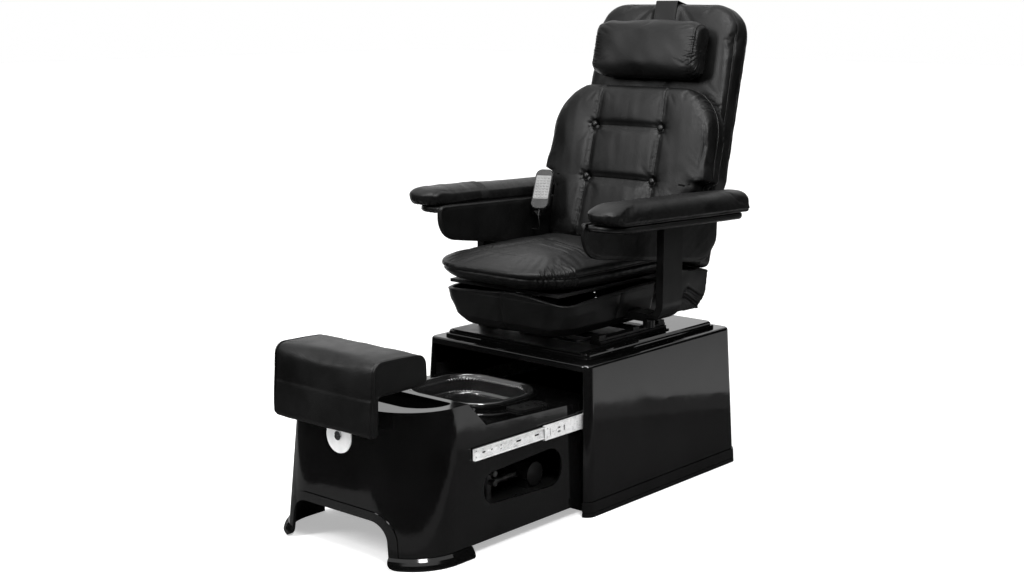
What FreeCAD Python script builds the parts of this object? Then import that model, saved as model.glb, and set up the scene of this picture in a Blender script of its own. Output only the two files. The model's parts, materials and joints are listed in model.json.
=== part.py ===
import FreeCAD, Part
import math
import os
import re

import Sketcher
from FreeCAD import Placement, Rotation, Vector

# Pedicure spa chair. Millimetres, +Z up, the sitter faces -Y and +X is the sitter's left.
# The origin is on the floor at the centre of the pedestal's footprint.
# The foot bath is drawn pulled out of the pedestal, which is the rest pose.

doc = FreeCAD.newDocument("pedicure_spa_chair")
sheet = doc.addObject("Spreadsheet::Sheet", "sizes")

# Driving dimensions: alias, millimetres (or degrees), what it is.
DRIVING = [
    ("snug", 0.3, "gap between pieces that seat on each other across a joint"),
    ("play", 0.06, "radial clearance of a shaft that turns or slides in a hole"),
    ("base_width", 630, "pedestal shell across its top"),
    ("base_depth", 730, "pedestal shell front to back at its top"),
    ("base_height", 442, "pedestal shell height"),
    ("base_spread", 19, "how far each pedestal side leans out at the floor"),
    ("base_corner", 26, "pedestal corner radius"),
    ("base_round", 9, "rounding of the pedestal's top edges"),
    ("base_wall", 5, "pedestal moulding thickness"),
    ("base_top", 20, "pedestal top thickness"),
    ("lip_width", 20, "return lip round the front opening"),
    ("lip_depth", 10, "return lip, front to back"),
    ("plinth_height", 44, "moulded plinth round the pedestal"),
    ("plinth_proud", 4, "how far the plinth stands out"),
    ("plinth_groove", 14, "groove round the plinth above the floor"),
    ("plinth_groove_deep", 1.6, "depth of the groove round the plinth"),
    ("floor_board", 18, "plywood floor board thickness"),
    ("floor_board_setback", 42, "floor board behind the pedestal front"),
    ("side_board", 21, "plywood side board thickness"),
    ("side_board_top", 350, "top of the side boards"),
    ("side_board_rear", 300, "rear end of the side boards"),
    ("gland_radius", 9, "bore of the cable gland"),
    ("gland_x", 210, "cable gland from the centre"),
    ("gland_z", 70, "cable gland above the floor"),
    ("plateau_width", 552, "raised top plate across"),
    ("plateau_depth", 640, "raised top plate front to back"),
    ("plateau_forward", 2, "raised top plate centre ahead of the origin"),
    ("plateau_rise", 20, "raised top plate height"),
    ("plateau_step", 9, "height of its lower tier"),
    ("plateau_tier", 7, "how far its lower tier stands out"),
    ("plateau_corner", 16, "corner radius of the raised top plate"),
    ("supply_width", 260, "power supply across"),
    ("supply_depth", 100, "power supply front to back"),
    ("supply_height", 82, "power supply height"),
    ("supply_front", 232, "power supply front face behind the origin"),
    ("bath_travel", 462, "how far the foot bath pulls out"),
    ("bath_side_gap", 27, "foot bath to opening, each side at the deck"),
    ("bath_foot_gap", 20, "foot bath to opening, each side at the floor"),
    ("deck_gap", 8, "foot bath deck under the pedestal top"),
    ("bath_front_floor", 1045, "foot bath front ahead of the origin, at the floor"),
    ("bath_front_deck", 1028, "foot bath front ahead of the origin, at the deck"),
    ("bath_rear", 260, "foot bath rear ahead of the origin"),
    ("bath_wall", 6, "foot bath moulding thickness"),
    ("bath_corner_floor", 148, "foot bath front corner radius at the floor"),
    ("bath_corner_deck", 168, "foot bath front corner radius at the deck"),
    ("bath_corner_rear", 14, "foot bath rear corner radius"),
    ("bath_clear", 31, "foot bath side above the floor"),
    ("foot_rear", 832, "rear end of the two front feet ahead of the origin"),
    ("foot_band", 31, "moulded band round the feet"),
    ("band_proud", 4, "how far the band stands out"),
    ("foot_flare", 15, "how far the feet flare out beyond the foot bath's sides"),
    ("arch_height", 119, "front arch above the floor"),
    ("arch_foot_half", 192, "half the front arch at the floor"),
    ("arch_top_half", 178, "half the front arch near its top"),
    ("arch_corner", 56, "corner radius of the front arch"),
    ("arch_foot_round", 32, "rounding of the feet's inner lower corners"),
    ("arch_band", 24, "width of the moulded band round the arch"),
    ("deck_rear", 817, "rear edge of the deck ahead of the origin"),
    ("slope_foot", 751, "foot of the slope behind the deck ahead of the origin"),
    ("ledge_z", 344, "ledge height at the foot of the slope"),
    ("ledge_slope", 2.4, "degrees that the ledge falls to the rear"),
    ("tray_half", 235, "half the width of the deck recess"),
    ("tray_front", 954, "front edge of the deck recess ahead of the origin"),
    ("tray_rear", 838, "rear edge of the deck recess ahead of the origin"),
    ("tray_depth", 50, "depth of the deck recess"),
    ("tray_corner", 90, "front corner radius of the deck recess"),
    ("tray_rear_corner", 20, "rear corner radius of the deck recess"),
    ("basin_half", 168, "half the width of the basin rim"),
    ("basin_front", 664, "basin rim front ahead of the origin"),
    ("basin_rear", 368, "basin rim rear ahead of the origin"),
    ("basin_corner", 104, "basin rim corner radius"),
    ("basin_rim", 11, "height of the basin rim above the collar"),
    ("basin_lip", 9, "width of the basin rim"),
    ("basin_wall", 4, "basin wall thickness"),
    ("basin_depth", 142, "basin rim to the underside of its bottom"),
    ("basin_taper", 34, "how far each basin wall leans in"),
    ("collar_z", 346, "top of the collar that the basin seats on"),
    ("collar_width", 26, "width of the collar round the basin opening"),
    ("collar_margin", 8, "collar beyond the basin rim"),
    ("window_front", 772, "front end of the side windows ahead of the origin"),
    ("window_rear", 443, "rear end of the side windows ahead of the origin"),
    ("window_z", 168, "centre height of the side windows"),
    ("window_front_half", 42, "half height of a window at its front"),
    ("window_rear_half", 57, "half height of a window at its rear"),
    ("equipment_z", 98, "underside of the equipment tray"),
    ("equipment_sheet", 6, "equipment tray thickness"),
    ("slide_length", 550, "drawer slide length, closed"),
    ("slide_height", 45, "drawer slide height"),
    ("slide_depth", 12.7, "drawer slide thickness"),
    ("slide_z", 275, "drawer slide centre height"),
    ("slide_sheet", 1.4, "drawer slide sheet thickness"),
    ("slide_gap", 0.6, "running gap between the slide members"),
    ("slide_track", 3.6, "ball track between the middle and inner members, above and below"),
    ("slide_open", 1.5, "outer and middle flanges short of the inner web"),
    ("slide_setback", 15, "drawer slide behind the pedestal's top front edge"),
    ("middle_share", 0.38, "middle member's travel per unit of the bath's"),
    ("screw_radius", 2.2, "slide screw shank radius"),
    ("screw_head", 4.2, "slide screw head radius"),
    ("screw_reach", 5, "how deep a slide screw goes into the foot bath"),
    ("screw_first", 30, "first slide screw behind the slide's front end"),
    ("screw_pitch", 32, "spacing of the front slide screws"),
    ("pod_inner", 184, "control pod inner side from the centre"),
    ("pod_width", 62, "control pod across"),
    ("pod_front", 578, "control pod front ahead of the origin"),
    ("pod_length", 130, "control pod front to back"),
    ("pod_height", 7, "control pod above the ledge"),
    ("pod_corner", 16, "control pod corner radius"),
    ("button_radius", 7, "control button radius"),
    ("button_travel", 1.5, "control button travel"),
    ("button_proud", 3, "control button above the pod"),
    ("button_first", 32, "first button behind the pod front"),
    ("button_pitch", 30, "control button spacing"),
    ("lock_z", 325, "lock plate centre above the floor"),
    ("lock_radius", 48, "lock plate radius"),
    ("lock_sheet", 3, "lock plate thickness"),
    ("hub_radius", 12.5, "lock hub radius"),
    ("hub_proud", 4, "lock hub in front of its plate"),
    ("post_width", 50, "footrest post across"),
    ("post_depth", 16, "footrest post front to back"),
    ("post_forward", 1000, "footrest post centre ahead of the origin"),
    ("post_bottom", 306, "footrest post lower end above the floor"),
    ("sleeve_wall", 3, "wall of the footrest sleeve"),
    ("sleeve_bottom", 300, "lower end of the footrest sleeve"),
    ("plate_width", 170, "footrest carrier plate across"),
    ("plate_front", 1045, "footrest carrier plate front ahead of the origin"),
    ("plate_rear", 932, "footrest carrier plate rear ahead of the origin"),
    ("plate_sheet", 6, "footrest carrier plate thickness"),
    ("rest_half", 197, "half the width of the footrest pad"),
    ("rest_under", 466, "underside of the footrest pad"),
    ("rest_top", 562, "top of the footrest pad"),
    ("rest_front", 1098, "front of the footrest pad ahead of the origin"),
    ("rest_rear", 890, "rear of the footrest pad ahead of the origin"),
    ("rest_flap_rear", 1068, "rear of its front flap ahead of the origin"),
    ("rest_flap_bottom", 359, "lower edge of its front flap"),
    ("rest_round", 32, "rounding of the footrest pad's top edges"),
    ("rest_crown", 7, "how far the pad's ends bulge out"),
    ("motor_radius", 45, "jet motor radius"),
    ("motor_height", 92, "jet motor height"),
    ("pump_radius", 34, "drain pump radius"),
    ("pump_x", 150, "drain pump inner end from the centre"),
    ("pump_length", 86, "drain pump length"),
    ("pump_forward", 505, "drain pump centre ahead of the origin"),
    ("spout_length", 8, "drain pump spout beyond the drum"),
    ("hose_radius", 10, "drain hose outer radius"),
    ("hose_bore", 7, "drain hose bore radius"),
    ("hose_length", 106, "drain hose length"),
    ("fitting_radius", 12, "pipe fitting radius"),
    ("fitting_height", 86, "pipe fitting height above the equipment tray"),
    ("mount_sheet", 4, "seat mounting plate thickness"),
    ("mount_width", 500, "seat mounting plate across"),
    ("mount_front", 326, "seat mounting plate front ahead of the origin"),
    ("mount_rear", 118, "seat mounting plate rear behind the origin"),
    ("rail_x", 222, "seat rail centre line from the centre"),
    ("rail_width", 40, "seat rail across"),
    ("rail_height", 10, "seat rail height"),
    ("rail_sheet", 2.5, "seat rail sheet thickness"),
    ("rail_front", 216, "seat rail front end ahead of the origin"),
    ("rail_length", 330, "seat rail length"),
    ("runner_slot", 14, "opening in the top of the seat rail"),
    ("runner_height", 8, "seat runner above the rail"),
    ("runner_width", 30, "seat runner across"),
    ("beam_height", 10, "seat frame beam height"),
    ("beam_depth", 30, "seat frame beam front to back"),
    ("beam_half", 237, "half the length of a seat frame beam"),
    ("beam_front", 200, "front beam centre ahead of the origin"),
    ("beam_rear", 95, "rear beam centre behind the origin"),
    ("upright", 25, "seat frame upright, square section"),
    ("upright_x", 120, "seat frame upright from the centre"),
    ("board_rise", 132, "underside of the seat board above the seat frame's beams"),
    ("board_sheet", 10, "seat board thickness"),
    ("board_half", 212, "half the width of the seat board"),
    ("board_front", 374, "seat board front ahead of the origin"),
    ("board_rear", 112, "seat board rear behind the origin"),
    ("skirt_rise", 122, "rim of the upholstered seat skirt above the beams"),
    ("skirt_half", 244, "half the width of the skirt rim"),
    ("skirt_front", 396, "skirt rim front ahead of the origin"),
    ("skirt_rear", 72, "skirt rim rear behind the origin"),
    ("skirt_corner", 80, "skirt rim corner radius"),
    ("skirt_foot_half", 172, "half the width of the skirt's lower edge"),
    ("skirt_foot_front", 326, "skirt's lower edge front ahead of the origin"),
    ("skirt_wall", 12, "skirt thickness"),
    ("cushion_half", 246, "half the width of the seat cushion"),
    ("cushion_front", 470, "seat cushion front ahead of the origin"),
    ("cushion_rear", 119, "seat cushion rear behind the origin"),
    ("cushion_thick", 91, "seat cushion thickness at its crown"),
    ("cushion_corner", 150, "seat cushion corner radius"),
    ("seat_seam_x", 140, "sewn channels of the seat cushion from the centre"),
    ("hinge_y", 200, "recline hinge behind the origin"),
    ("hinge_rise", 106, "recline hinge above the beams"),
    ("pin_radius", 8, "recline pin radius"),
    ("bracket_x", 190, "inner face of a recline bracket"),
    ("bracket_sheet", 8, "recline bracket thickness"),
    ("lug_gap", 0.5, "recline bracket to back frame lug"),
    ("lug_sheet", 8, "back frame lug thickness"),
    ("lug_heel", 6, "how far a lug's upper end stands behind the back panel"),
    ("lug_climb", 20, "how far a lug climbs above the back panel's lower edge"),
    ("lug_radius", 17, "back frame lug radius round the pin"),
    ("lean", 14.36, "degrees that the backrest leans back at rest"),
    ("back_front", 101.6, "lumbar pad front ahead of the recline hinge, square to the lean"),
    ("pad_rear", 3, "lumbar pad rear behind the hinge, square to the lean"),
    ("shell_front", 8.8, "back cushion front behind the hinge, square to the lean"),
    ("shell_thick", 105, "back cushion thickness"),
    ("shell_bottom", 54, "back cushion lower end above the hinge, along the lean"),
    ("shell_top", 890, "back cushion upper end above the hinge, along the lean"),
    ("shell_bottom_half", 267, "half the width of the back cushion at its lower end"),
    ("shell_middle_half", 284, "half the width of the back cushion half way up"),
    ("shell_hip", 258, "where the back cushion starts to widen above the hinge, along the lean"),
    ("shell_flank", 345, "where the back cushion is widest above the hinge, along the lean"),
    ("shell_top_half", 272, "half the width of the back cushion below its corners"),
    ("shell_corner", 100, "upper corner radius of the back cushion"),
    ("shell_round", 26, "rounding of the back cushion's edges"),
    ("lumbar_bottom", 94, "lumbar pad lower end above the hinge, along the lean"),
    ("lumbar_top", 600, "lumbar pad upper end above the hinge, along the lean"),
    ("lumbar_neck", 38, "how far below its lower tufts the lumbar pad starts to widen"),
    ("lumbar_low_half", 258, "half the width of the lumbar pad at its lower end"),
    ("lumbar_panel_half", 266, "half the width of the lumbar pad between the armrests' side panels"),
    ("lumbar_arm_half", 286, "half the width of the lumbar pad beside the armrests"),
    ("lumbar_wide_half", 317, "half the width of the lumbar pad above the armrests"),
    ("lumbar_top_half", 196, "half the width of the lumbar pad's top edge"),
    ("seam_x", 130, "sewn channels of the lumbar pad from the centre"),
    ("seam_low", 292, "lower row of tufts above the hinge, along the lean"),
    ("seam_high", 461, "upper row of tufts above the hinge, along the lean"),
    ("seam_radius", 5, "radius of the sewn channels"),
    ("tuft_radius", 12, "tuft button radius"),
    ("tuft_sink", 7, "how deep a tuft button is drawn in"),
    ("panel_sheet", 12, "back panel thickness"),
    ("panel_half", 206.5, "half the width of the back panel"),
    ("panel_bottom", 42, "back panel lower end above the hinge, along the lean"),
    ("panel_top", 566, "back panel upper end above the hinge, along the lean"),
    ("vibrator_radius", 34, "vibration motor radius"),
    ("vibrator_height", 18, "vibration motor height"),
    ("vibrator_x", 72, "vibration motor from the centre"),
    ("pillow_half", 208, "half the width of the pillow"),
    ("pillow_bottom", 623, "pillow lower edge above the hinge, along the lean"),
    ("pillow_height", 196, "pillow height"),
    ("pillow_thick", 98, "pillow thickness"),
    ("strap_width", 84, "pillow strap across"),
    ("strap_sheet", 2.5, "pillow strap thickness"),
    ("strap_tail", 150, "pillow strap hanging behind the back cushion"),
    ("flap_half", 266, "half the width of the rear cover"),
    ("flap_wall", 10, "rear cover thickness"),
    ("lever_half", 8, "half the width of the recline lever"),
    ("lever_length", 62, "recline lever below the hinge"),
    ("rod_radius", 8, "recline actuator rod radius"),
    ("rod_reach", 26, "actuator rod end ahead of the recline hinge"),
    ("rod_length", 190, "actuator rod length"),
    ("actuator_half", 24, "half the width of the recline actuator"),
    ("actuator_rise", 53, "recline actuator centre above the beams"),
    ("actuator_front", 150, "recline actuator front ahead of the origin"),
    ("actuator_rear", 30, "recline actuator rear behind the origin"),
    ("arm_x", 348, "armrest centre line from the centre"),
    ("arm_width", 120, "armrest pad across"),
    ("arm_front", 381, "armrest pad front ahead of the origin"),
    ("arm_rear", 346, "armrest pad rear behind the origin"),
    ("arm_tilt", 1.7, "degrees that the armrests rise to the front"),
    ("arm_rise", 318, "underside of the armrest board above the beams, at the origin"),
    ("arm_board", 20, "armrest board thickness"),
    ("arm_board_inset", 6, "armrest board inside the pad's sides"),
    ("arm_board_setback", 36, "armrest board short of the pad's ends"),
    ("arm_pad", 68, "armrest pad thickness at its crown"),
    ("arm_corner", 48, "armrest pad corner radius"),
    ("sleeve_length", 264, "armrest cover sleeve, front to back"),
    ("sleeve_sheet", 1.6, "armrest cover sleeve thickness"),
    ("side_inner", 269, "inner face of the armrest side panel"),
    ("side_thick", 17, "armrest side panel thickness"),
    ("side_rise", 24, "armrest side panel above the underside of its board"),
    ("side_front", 352, "armrest side panel front ahead of the origin"),
    ("side_rear", 318, "armrest side panel rear behind the origin"),
    ("side_drop_front", 78, "armrest side panel below its board at the front"),
    ("side_drop_rear", 144, "armrest side panel below its board at the rear"),
    ("leg_thick", 25, "armrest post across"),
    ("leg_inner", 342, "inner face of the armrest post"),
    ("leg_bend", 60, "outer radius of the post's turn under the seat"),
    ("leg_depth", 96, "armrest post front to back"),
    ("leg_rear", 14, "armrest post rear edge behind the origin"),
    ("leg_round", 26, "rounding of the armrest post's lower corners, seen from its side"),
    ("foot_depth", 55, "armrest foot bar front to back"),
    ("foot_height", 15, "armrest foot bar height"),
    ("foot_rise", 32.5, "underside of the armrest foot bar above the beams"),
    ("foot_inner", 214, "inner end of the armrest foot bar from the centre"),
    ("socket_wall", 4, "wall of the armrest socket"),
    ("socket_outer", 300, "outer end of the armrest socket from the centre"),
    ("knob_x", 283, "armrest knob from the centre"),
    ("knob_radius", 18, "armrest knob radius"),
    ("knob_height", 22, "armrest knob height"),
    ("knob_stem", 4, "armrest knob stem radius"),
    ("knob_flute", 3, "armrest knob flute radius"),
    ("release_x", 205, "release bar arm from the centre"),
    ("release_radius", 5, "release bar radius"),
    ("release_notch", 5, "height of the notch in the front beam over each arm of the release bar"),
    ("release_front", 262, "release bar handle ahead of the origin"),
    ("release_pivot", 150, "release bar pivot ahead of the origin"),
    ("handset_x", 238, "handset centre from the centre"),
    ("handset_forward", -91, "handset centre ahead of the origin"),
    ("handset_rise", 47, "handset centre above the underside of the armrest board"),
    ("handset_width", 60, "handset across"),
    ("handset_length", 142, "handset length"),
    ("handset_thick", 22, "handset thickness"),
    ("handset_lean", 32, "degrees that the handset leans back"),
    ("handset_turn", 23, "degrees that the handset turns to the sitter"),
    ("keypad_sheet", 1.2, "handset keypad thickness"),
    ("cord_radius", 2, "handset cord radius"),
]

# Dimensions that follow from the driving ones: alias, formula, what it is.
DERIVED = [
    ("base_half", "base_width / 2", "half the pedestal at its top"),
    ("base_half_depth", "base_depth / 2", "half the pedestal's depth at its top"),
    ("plateau_z", "base_height + plateau_rise", "top of the raised top plate"),
    ("cavity_top", "base_height - base_top", "underside of the pedestal top"),
    ("deck_z", "cavity_top - deck_gap", "foot bath deck height"),
    ("deck_half", "base_half - lip_width - bath_side_gap", "half the foot bath at its deck"),
    ("bath_floor_half", "base_half + base_spread - lip_width - bath_foot_gap",
     "half the foot bath at the floor"),
    ("board_outer", "base_half + base_spread * (1 - side_board_top / base_height)"
     " - base_wall - snug", "outer face of a side board"),
    ("slide_back", "board_outer - side_board", "back of the drawer slides"),
    ("slide_face", "slide_back - slide_depth", "foot bath side of the drawer slides"),
    ("slide_front", "slide_setback - base_half_depth", "front end of the fixed slide member"),
    ("floor_board_half", "base_half + base_spread * (1 - floor_board / base_height)"
     " - base_wall - snug", "half the floor board"),
    ("floor_board_rear", "base_half_depth + base_spread * (1 - floor_board / base_height)"
     " - base_wall - snug", "rear edge of the floor board"),
    ("equipment_top", "equipment_z + equipment_sheet", "top of the equipment tray"),
    ("basin_bottom", "collar_z + basin_rim - basin_depth", "underside of the basin"),
    ("mount_top", "plateau_z + mount_sheet", "top of the seat mounting plate"),
    ("rail_top", "mount_top + rail_height", "top of the seat rails"),
    ("runner_top", "rail_top + runner_height", "top of the seat runners"),
    ("beam_top", "runner_top + beam_height", "top of the seat frame beams"),
    ("board_z", "beam_top + board_rise", "underside of the seat board"),
    ("cushion_z", "board_z + board_sheet", "underside of the seat cushion"),
    ("skirt_top", "beam_top + skirt_rise", "rim of the seat skirt"),
    ("hinge_z", "beam_top + hinge_rise", "height of the recline hinge"),
    ("actuator_z", "beam_top + actuator_rise", "height of the recline actuator's centre"),
    ("arm_z", "beam_top + arm_rise", "underside of the armrest board at the origin"),
    ("foot_z", "beam_top + foot_rise", "underside of the armrest foot bar"),
    ("handset_z", "arm_z + handset_rise", "height of the handset's centre"),
    ("leg_centre", "leg_rear - leg_depth / 2", "centre of the armrest post, front to back"),
    ("leg_outer", "leg_inner + leg_thick", "outer face of the armrest post"),
    ("socket_z", "foot_z - 0.5", "floor of the armrest socket's bore"),
    ("socket_bore", "foot_height + 1", "height of the armrest socket's bore"),
    ("socket_half", "foot_depth / 2 + 0.5", "half the depth of the armrest socket's bore"),
    ("lug_inner", "bracket_x + bracket_sheet + lug_gap", "inner face of a back frame lug"),
    ("lug_outer", "lug_inner + lug_sheet", "outer face of a back frame lug"),
]

for row, (alias, value, note) in enumerate(DRIVING, start=1):
    sheet.set("A%d" % row, note)
    sheet.set("B%d" % row, str(value))
    sheet.setAlias("B%d" % row, alias)
for row, (alias, formula, note) in enumerate(DERIVED, start=len(DRIVING) + 2):
    sheet.set("A%d" % row, note)
    sheet.set("B%d" % row, "=" + formula)
    sheet.setAlias("B%d" % row, alias)
doc.recompute()

ALIASES = {alias for alias, _, _ in DRIVING + DERIVED}
nodes = []


class Sizes:
    """The sheet's cells as plain numbers, for the shapes that are worked out here."""

    def __getattr__(self, alias):
        return float(getattr(sheet, alias))


v = Sizes()


# Helpers for bound primitives

def bound(expression):
    """An expression over the sheet's aliases, with each alias given its full name."""
    def full(match):
        word = match.group(0)
        return "sizes." + word if word in ALIASES else word
    return re.sub(r"[A-Za-z_][A-Za-z_0-9]*", full, str(expression))


def number(expression):
    """The value that a bound expression has now."""
    return float(sheet.evalExpression(bound(expression)))


def bind(piece, **expressions):
    """Bind properties such as Length, or x, y, z of the placement, to the sheet."""
    for name, expression in expressions.items():
        target = "Placement.Base." + name if name in ("x", "y", "z") else name
        piece.setExpression(target, bound(expression))
    return piece


def box(name, x, y, z):
    """A block between two expressions along each axis."""
    piece = doc.addObject("Part::Box", name)
    return bind(piece,
                x=x[0], y=y[0], z=z[0],
                Length="(%s) - (%s)" % (x[1], x[0]),
                Width="(%s) - (%s)" % (y[1], y[0]),
                Height="(%s) - (%s)" % (z[1], z[0]))


def cylinder(name, radius, length, x, y, z, axis="z"):
    """A cylinder that starts at x, y, z and runs along an axis."""
    piece = doc.addObject("Part::Cylinder", name)
    turns = {"z": Rotation(),
             "x": Rotation(Vector(0, 1, 0), 90),
             "y": Rotation(Vector(1, 0, 0), -90)}
    piece.Placement = Placement(Vector(), turns[axis])
    return bind(piece, Radius=radius, Height=length, x=x, y=y, z=z)


def cut(name, base, tool):
    piece = doc.addObject("Part::Cut", name)
    piece.Base = base
    piece.Tool = tool
    return piece


def fuse(name, pieces):
    piece = doc.addObject("Part::MultiFuse", name)
    piece.Shapes = pieces
    return piece


def mirrored(name, source):
    """The same piece on the other side of the chair's middle plane."""
    piece = doc.addObject("Part::Mirroring", name)
    piece.Source = source
    piece.Normal = Vector(1, 0, 0)
    return piece


def prism(name, plane, outline, depth, shift=None, midplane=False):
    """A PartDesign body: an outline whose corners are bound to the sheet, padded square to its plane."""
    body = doc.addObject("PartDesign::Body", name)
    sketch = body.newObject("Sketcher::SketchObject", name + "_sketch")
    origin = next(f for f in body.Origin.OriginFeatures if f.Role == plane + "_Plane")
    sketch.AttachmentSupport = [(origin, "")]
    sketch.MapMode = "FlatFace"
    corners = [Vector(number(a), number(b), 0) for a, b in outline]
    count = len(corners)
    for i in range(count):
        sketch.addGeometry(Part.LineSegment(corners[i], corners[(i + 1) % count]), False)
    for i in range(count):
        sketch.addConstraint(Sketcher.Constraint("Coincident", i, 2, (i + 1) % count, 1))
    for i, corner in enumerate(corners):
        for kind, value, expression in (("DistanceX", corner.x, outline[i][0]),
                                        ("DistanceY", corner.y, outline[i][1])):
            index = sketch.addConstraint(Sketcher.Constraint(kind, -1, 1, i, 1, value))
            sketch.setExpression("Constraints[%d]" % index, bound(expression))
    pad = body.newObject("PartDesign::Pad", name + "_pad")
    pad.Profile = sketch
    pad.Midplane = midplane
    pad.setExpression("Length", bound(depth))
    if shift:
        bind(body, **shift)
    doc.recompute()
    return body


def rounded(body, radius, spots, direction):
    """Fillet the edges of a prism that run along a direction through the given spots."""
    pad = body.Tip
    names = []
    for index, edge in enumerate(pad.Shape.Edges, start=1):
        first, last = edge.Vertexes[0].Point, edge.Vertexes[-1].Point
        run = last.sub(first)
        if run.Length < 1e-6 or abs(abs(run.dot(direction)) - run.Length) > 1e-6:
            continue
        for spot in spots:
            offset = spot.sub(first)
            if offset.sub(direction * offset.dot(direction)).Length < 1e-3:
                names.append("Edge%d" % index)
    fillet = body.newObject("PartDesign::Fillet", body.Name + "_fillet")
    fillet.Base = (pad, names)
    fillet.setExpression("Radius", bound(radius))
    body.Tip = fillet
    doc.recompute()
    return body


def feature(name, shape, placement=None):
    """A piece whose shape is worked out here from the sheet's numbers."""
    piece = doc.addObject("Part::Feature", name)
    piece.Shape = shape.removeSplitter()
    if placement:
        piece.Placement = placement
    return piece


def node(piece, label):
    """Name a finished sub-part; its label names its file."""
    piece.Label = label
    nodes.append(piece)
    return piece


# Helpers for lofted shapes

def rounded_outline(corners, radii, place):
    """A closed wire through corners (u, v) with a radius at each, put in space by place(u, v)."""
    count = len(corners)
    starts, ends, middles = [], [], []
    for i in range(count):
        here = Vector(corners[i][0], corners[i][1], 0)
        to_last = Vector(*corners[i - 1], 0).sub(here).normalize()
        to_next = Vector(*corners[(i + 1) % count], 0).sub(here).normalize()
        half = to_last.getAngle(to_next) / 2
        reach = radii[i] / math.tan(half)
        bisector = to_last.add(to_next).normalize()
        centre = here.add(bisector * (radii[i] / math.sin(half)))
        starts.append(here.add(to_last * reach))
        ends.append(here.add(to_next * reach))
        middles.append(centre.sub(bisector * radii[i]))
    edges = []
    for i in range(count):
        if radii[i] > 0:
            edges.append(Part.Arc(place(starts[i].x, starts[i].y),
                                  place(middles[i].x, middles[i].y),
                                  place(ends[i].x, ends[i].y)).toShape())
        following = (i + 1) % count
        edges.append(Part.LineSegment(place(ends[i].x, ends[i].y),
                                      place(starts[following].x, starts[following].y)).toShape())
    return Part.Wire(edges)


def level(z):
    return lambda x, y: Vector(x, y, z)


def rounded_rectangle(half, front, rear, z, front_radius, rear_radius=None):
    """A level wire, half wide each side of the middle plane, from y = front to y = rear."""
    if rear_radius is None:
        rear_radius = front_radius
    corners = [(-half, front), (half, front), (half, rear), (-half, rear)]
    return rounded_outline(corners, [front_radius, front_radius, rear_radius, rear_radius], level(z))


def loft(wires, ruled=True):
    return Part.makeLoft(wires, True, ruled)


def extruded(outline, radii, place, direction):
    """A solid: a rounded outline swept along a direction."""
    face = Part.Face(rounded_outline(outline, radii, place))
    return face.extrude(direction)


def block(x0, x1, y0, y1, z0, z1):
    return Part.makeBox(x1 - x0, y1 - y0, z1 - z0, Vector(x0, y0, z0))


def half_of_base(z):
    """Half the pedestal's width at a height."""
    return v.base_half + v.base_spread * (1 - z / v.base_height)


def half_depth_of_base(z):
    return v.base_half_depth + v.base_spread * (1 - z / v.base_height)


def half_of_bath(z):
    """Half the foot bath's width at a height."""
    return v.bath_floor_half + (v.deck_half - v.bath_floor_half) * z / v.deck_z


def front_of_bath(z):
    return -v.bath_front_floor + (v.bath_front_floor - v.bath_front_deck) * z / v.deck_z


def corner_of_bath(z):
    return v.bath_corner_floor + (v.bath_corner_deck - v.bath_corner_floor) * z / v.deck_z


def ledge_at(y):
    """Height of the foot bath's ledge, which falls to the rear."""
    return v.ledge_z - (y + v.slope_foot) * math.tan(math.radians(v.ledge_slope))


# Pedestal

def pedestal_ring(proud, low, high):
    """The pedestal's outer form between two heights, grown outwards by a distance."""
    return loft([rounded_rectangle(half_of_base(z) + proud, -half_depth_of_base(z) - proud,
                                   half_depth_of_base(z) + proud, z, v.base_corner + proud)
                 for z in (low, high)])


def pedestal_shell():
    beyond = 60
    outer = loft([rounded_rectangle(half_of_base(z), -half_depth_of_base(z), half_depth_of_base(z),
                                    z, v.base_corner) for z in (0, v.base_height)])
    top_edges = [e for e in outer.Edges
                 if all(abs(p.Point.z - v.base_height) < 1e-6 for p in e.Vertexes)]
    outer = outer.makeFillet(v.base_round, top_edges)
    plinth = pedestal_ring(v.plinth_proud, 0, v.plinth_height)
    groove = pedestal_ring(v.plinth_proud + 1, v.plinth_groove - 1.5, v.plinth_groove + 1.5)
    plinth = plinth.cut(groove.cut(pedestal_ring(v.plinth_proud - v.plinth_groove_deep, 0, v.plinth_height)))
    inner = loft([rounded_rectangle(half_of_base(z) - v.base_wall,
                                    -half_depth_of_base(z) + v.lip_depth,
                                    half_depth_of_base(z) - v.base_wall,
                                    z, v.base_corner - v.base_wall)
                  for z in (-1, v.cavity_top)])
    opening = loft([rounded_rectangle(half_of_base(z) - v.lip_width, -half_depth_of_base(z) - beyond,
                                      -half_depth_of_base(z) + beyond, z, v.lip_depth)
                    for z in (-1, v.cavity_top)])
    gland = Part.makeCylinder(v.gland_radius + 3, 2 * beyond,
                              Vector(v.gland_x, half_depth_of_base(v.gland_z) - beyond, v.gland_z),
                              Vector(0, 1, 0))
    shell = outer.fuse(plinth).cut(inner).cut(opening).cut(gland)
    return node(feature("pedestal_shell", shell), "pedestal_shell")


def pedestal_boards():
    corner = v.base_corner - v.base_wall
    front = v.floor_board_setback - v.base_half_depth - v.base_spread
    floor = loft([rounded_rectangle(v.floor_board_half, front, v.floor_board_rear, z, 3, corner)
                  for z in (0, v.floor_board)])
    node(feature("floor_board_sheet", floor), "floor_board")
    side = box("side_board_left",
               ("slide_back", "board_outer"),
               ("lip_depth - base_half_depth + base_corner - base_wall", "side_board_rear"),
               ("floor_board", "side_board_top"))
    node(fuse("side_boards", [side, mirrored("side_board_right", side)]), "side_boards")


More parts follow.
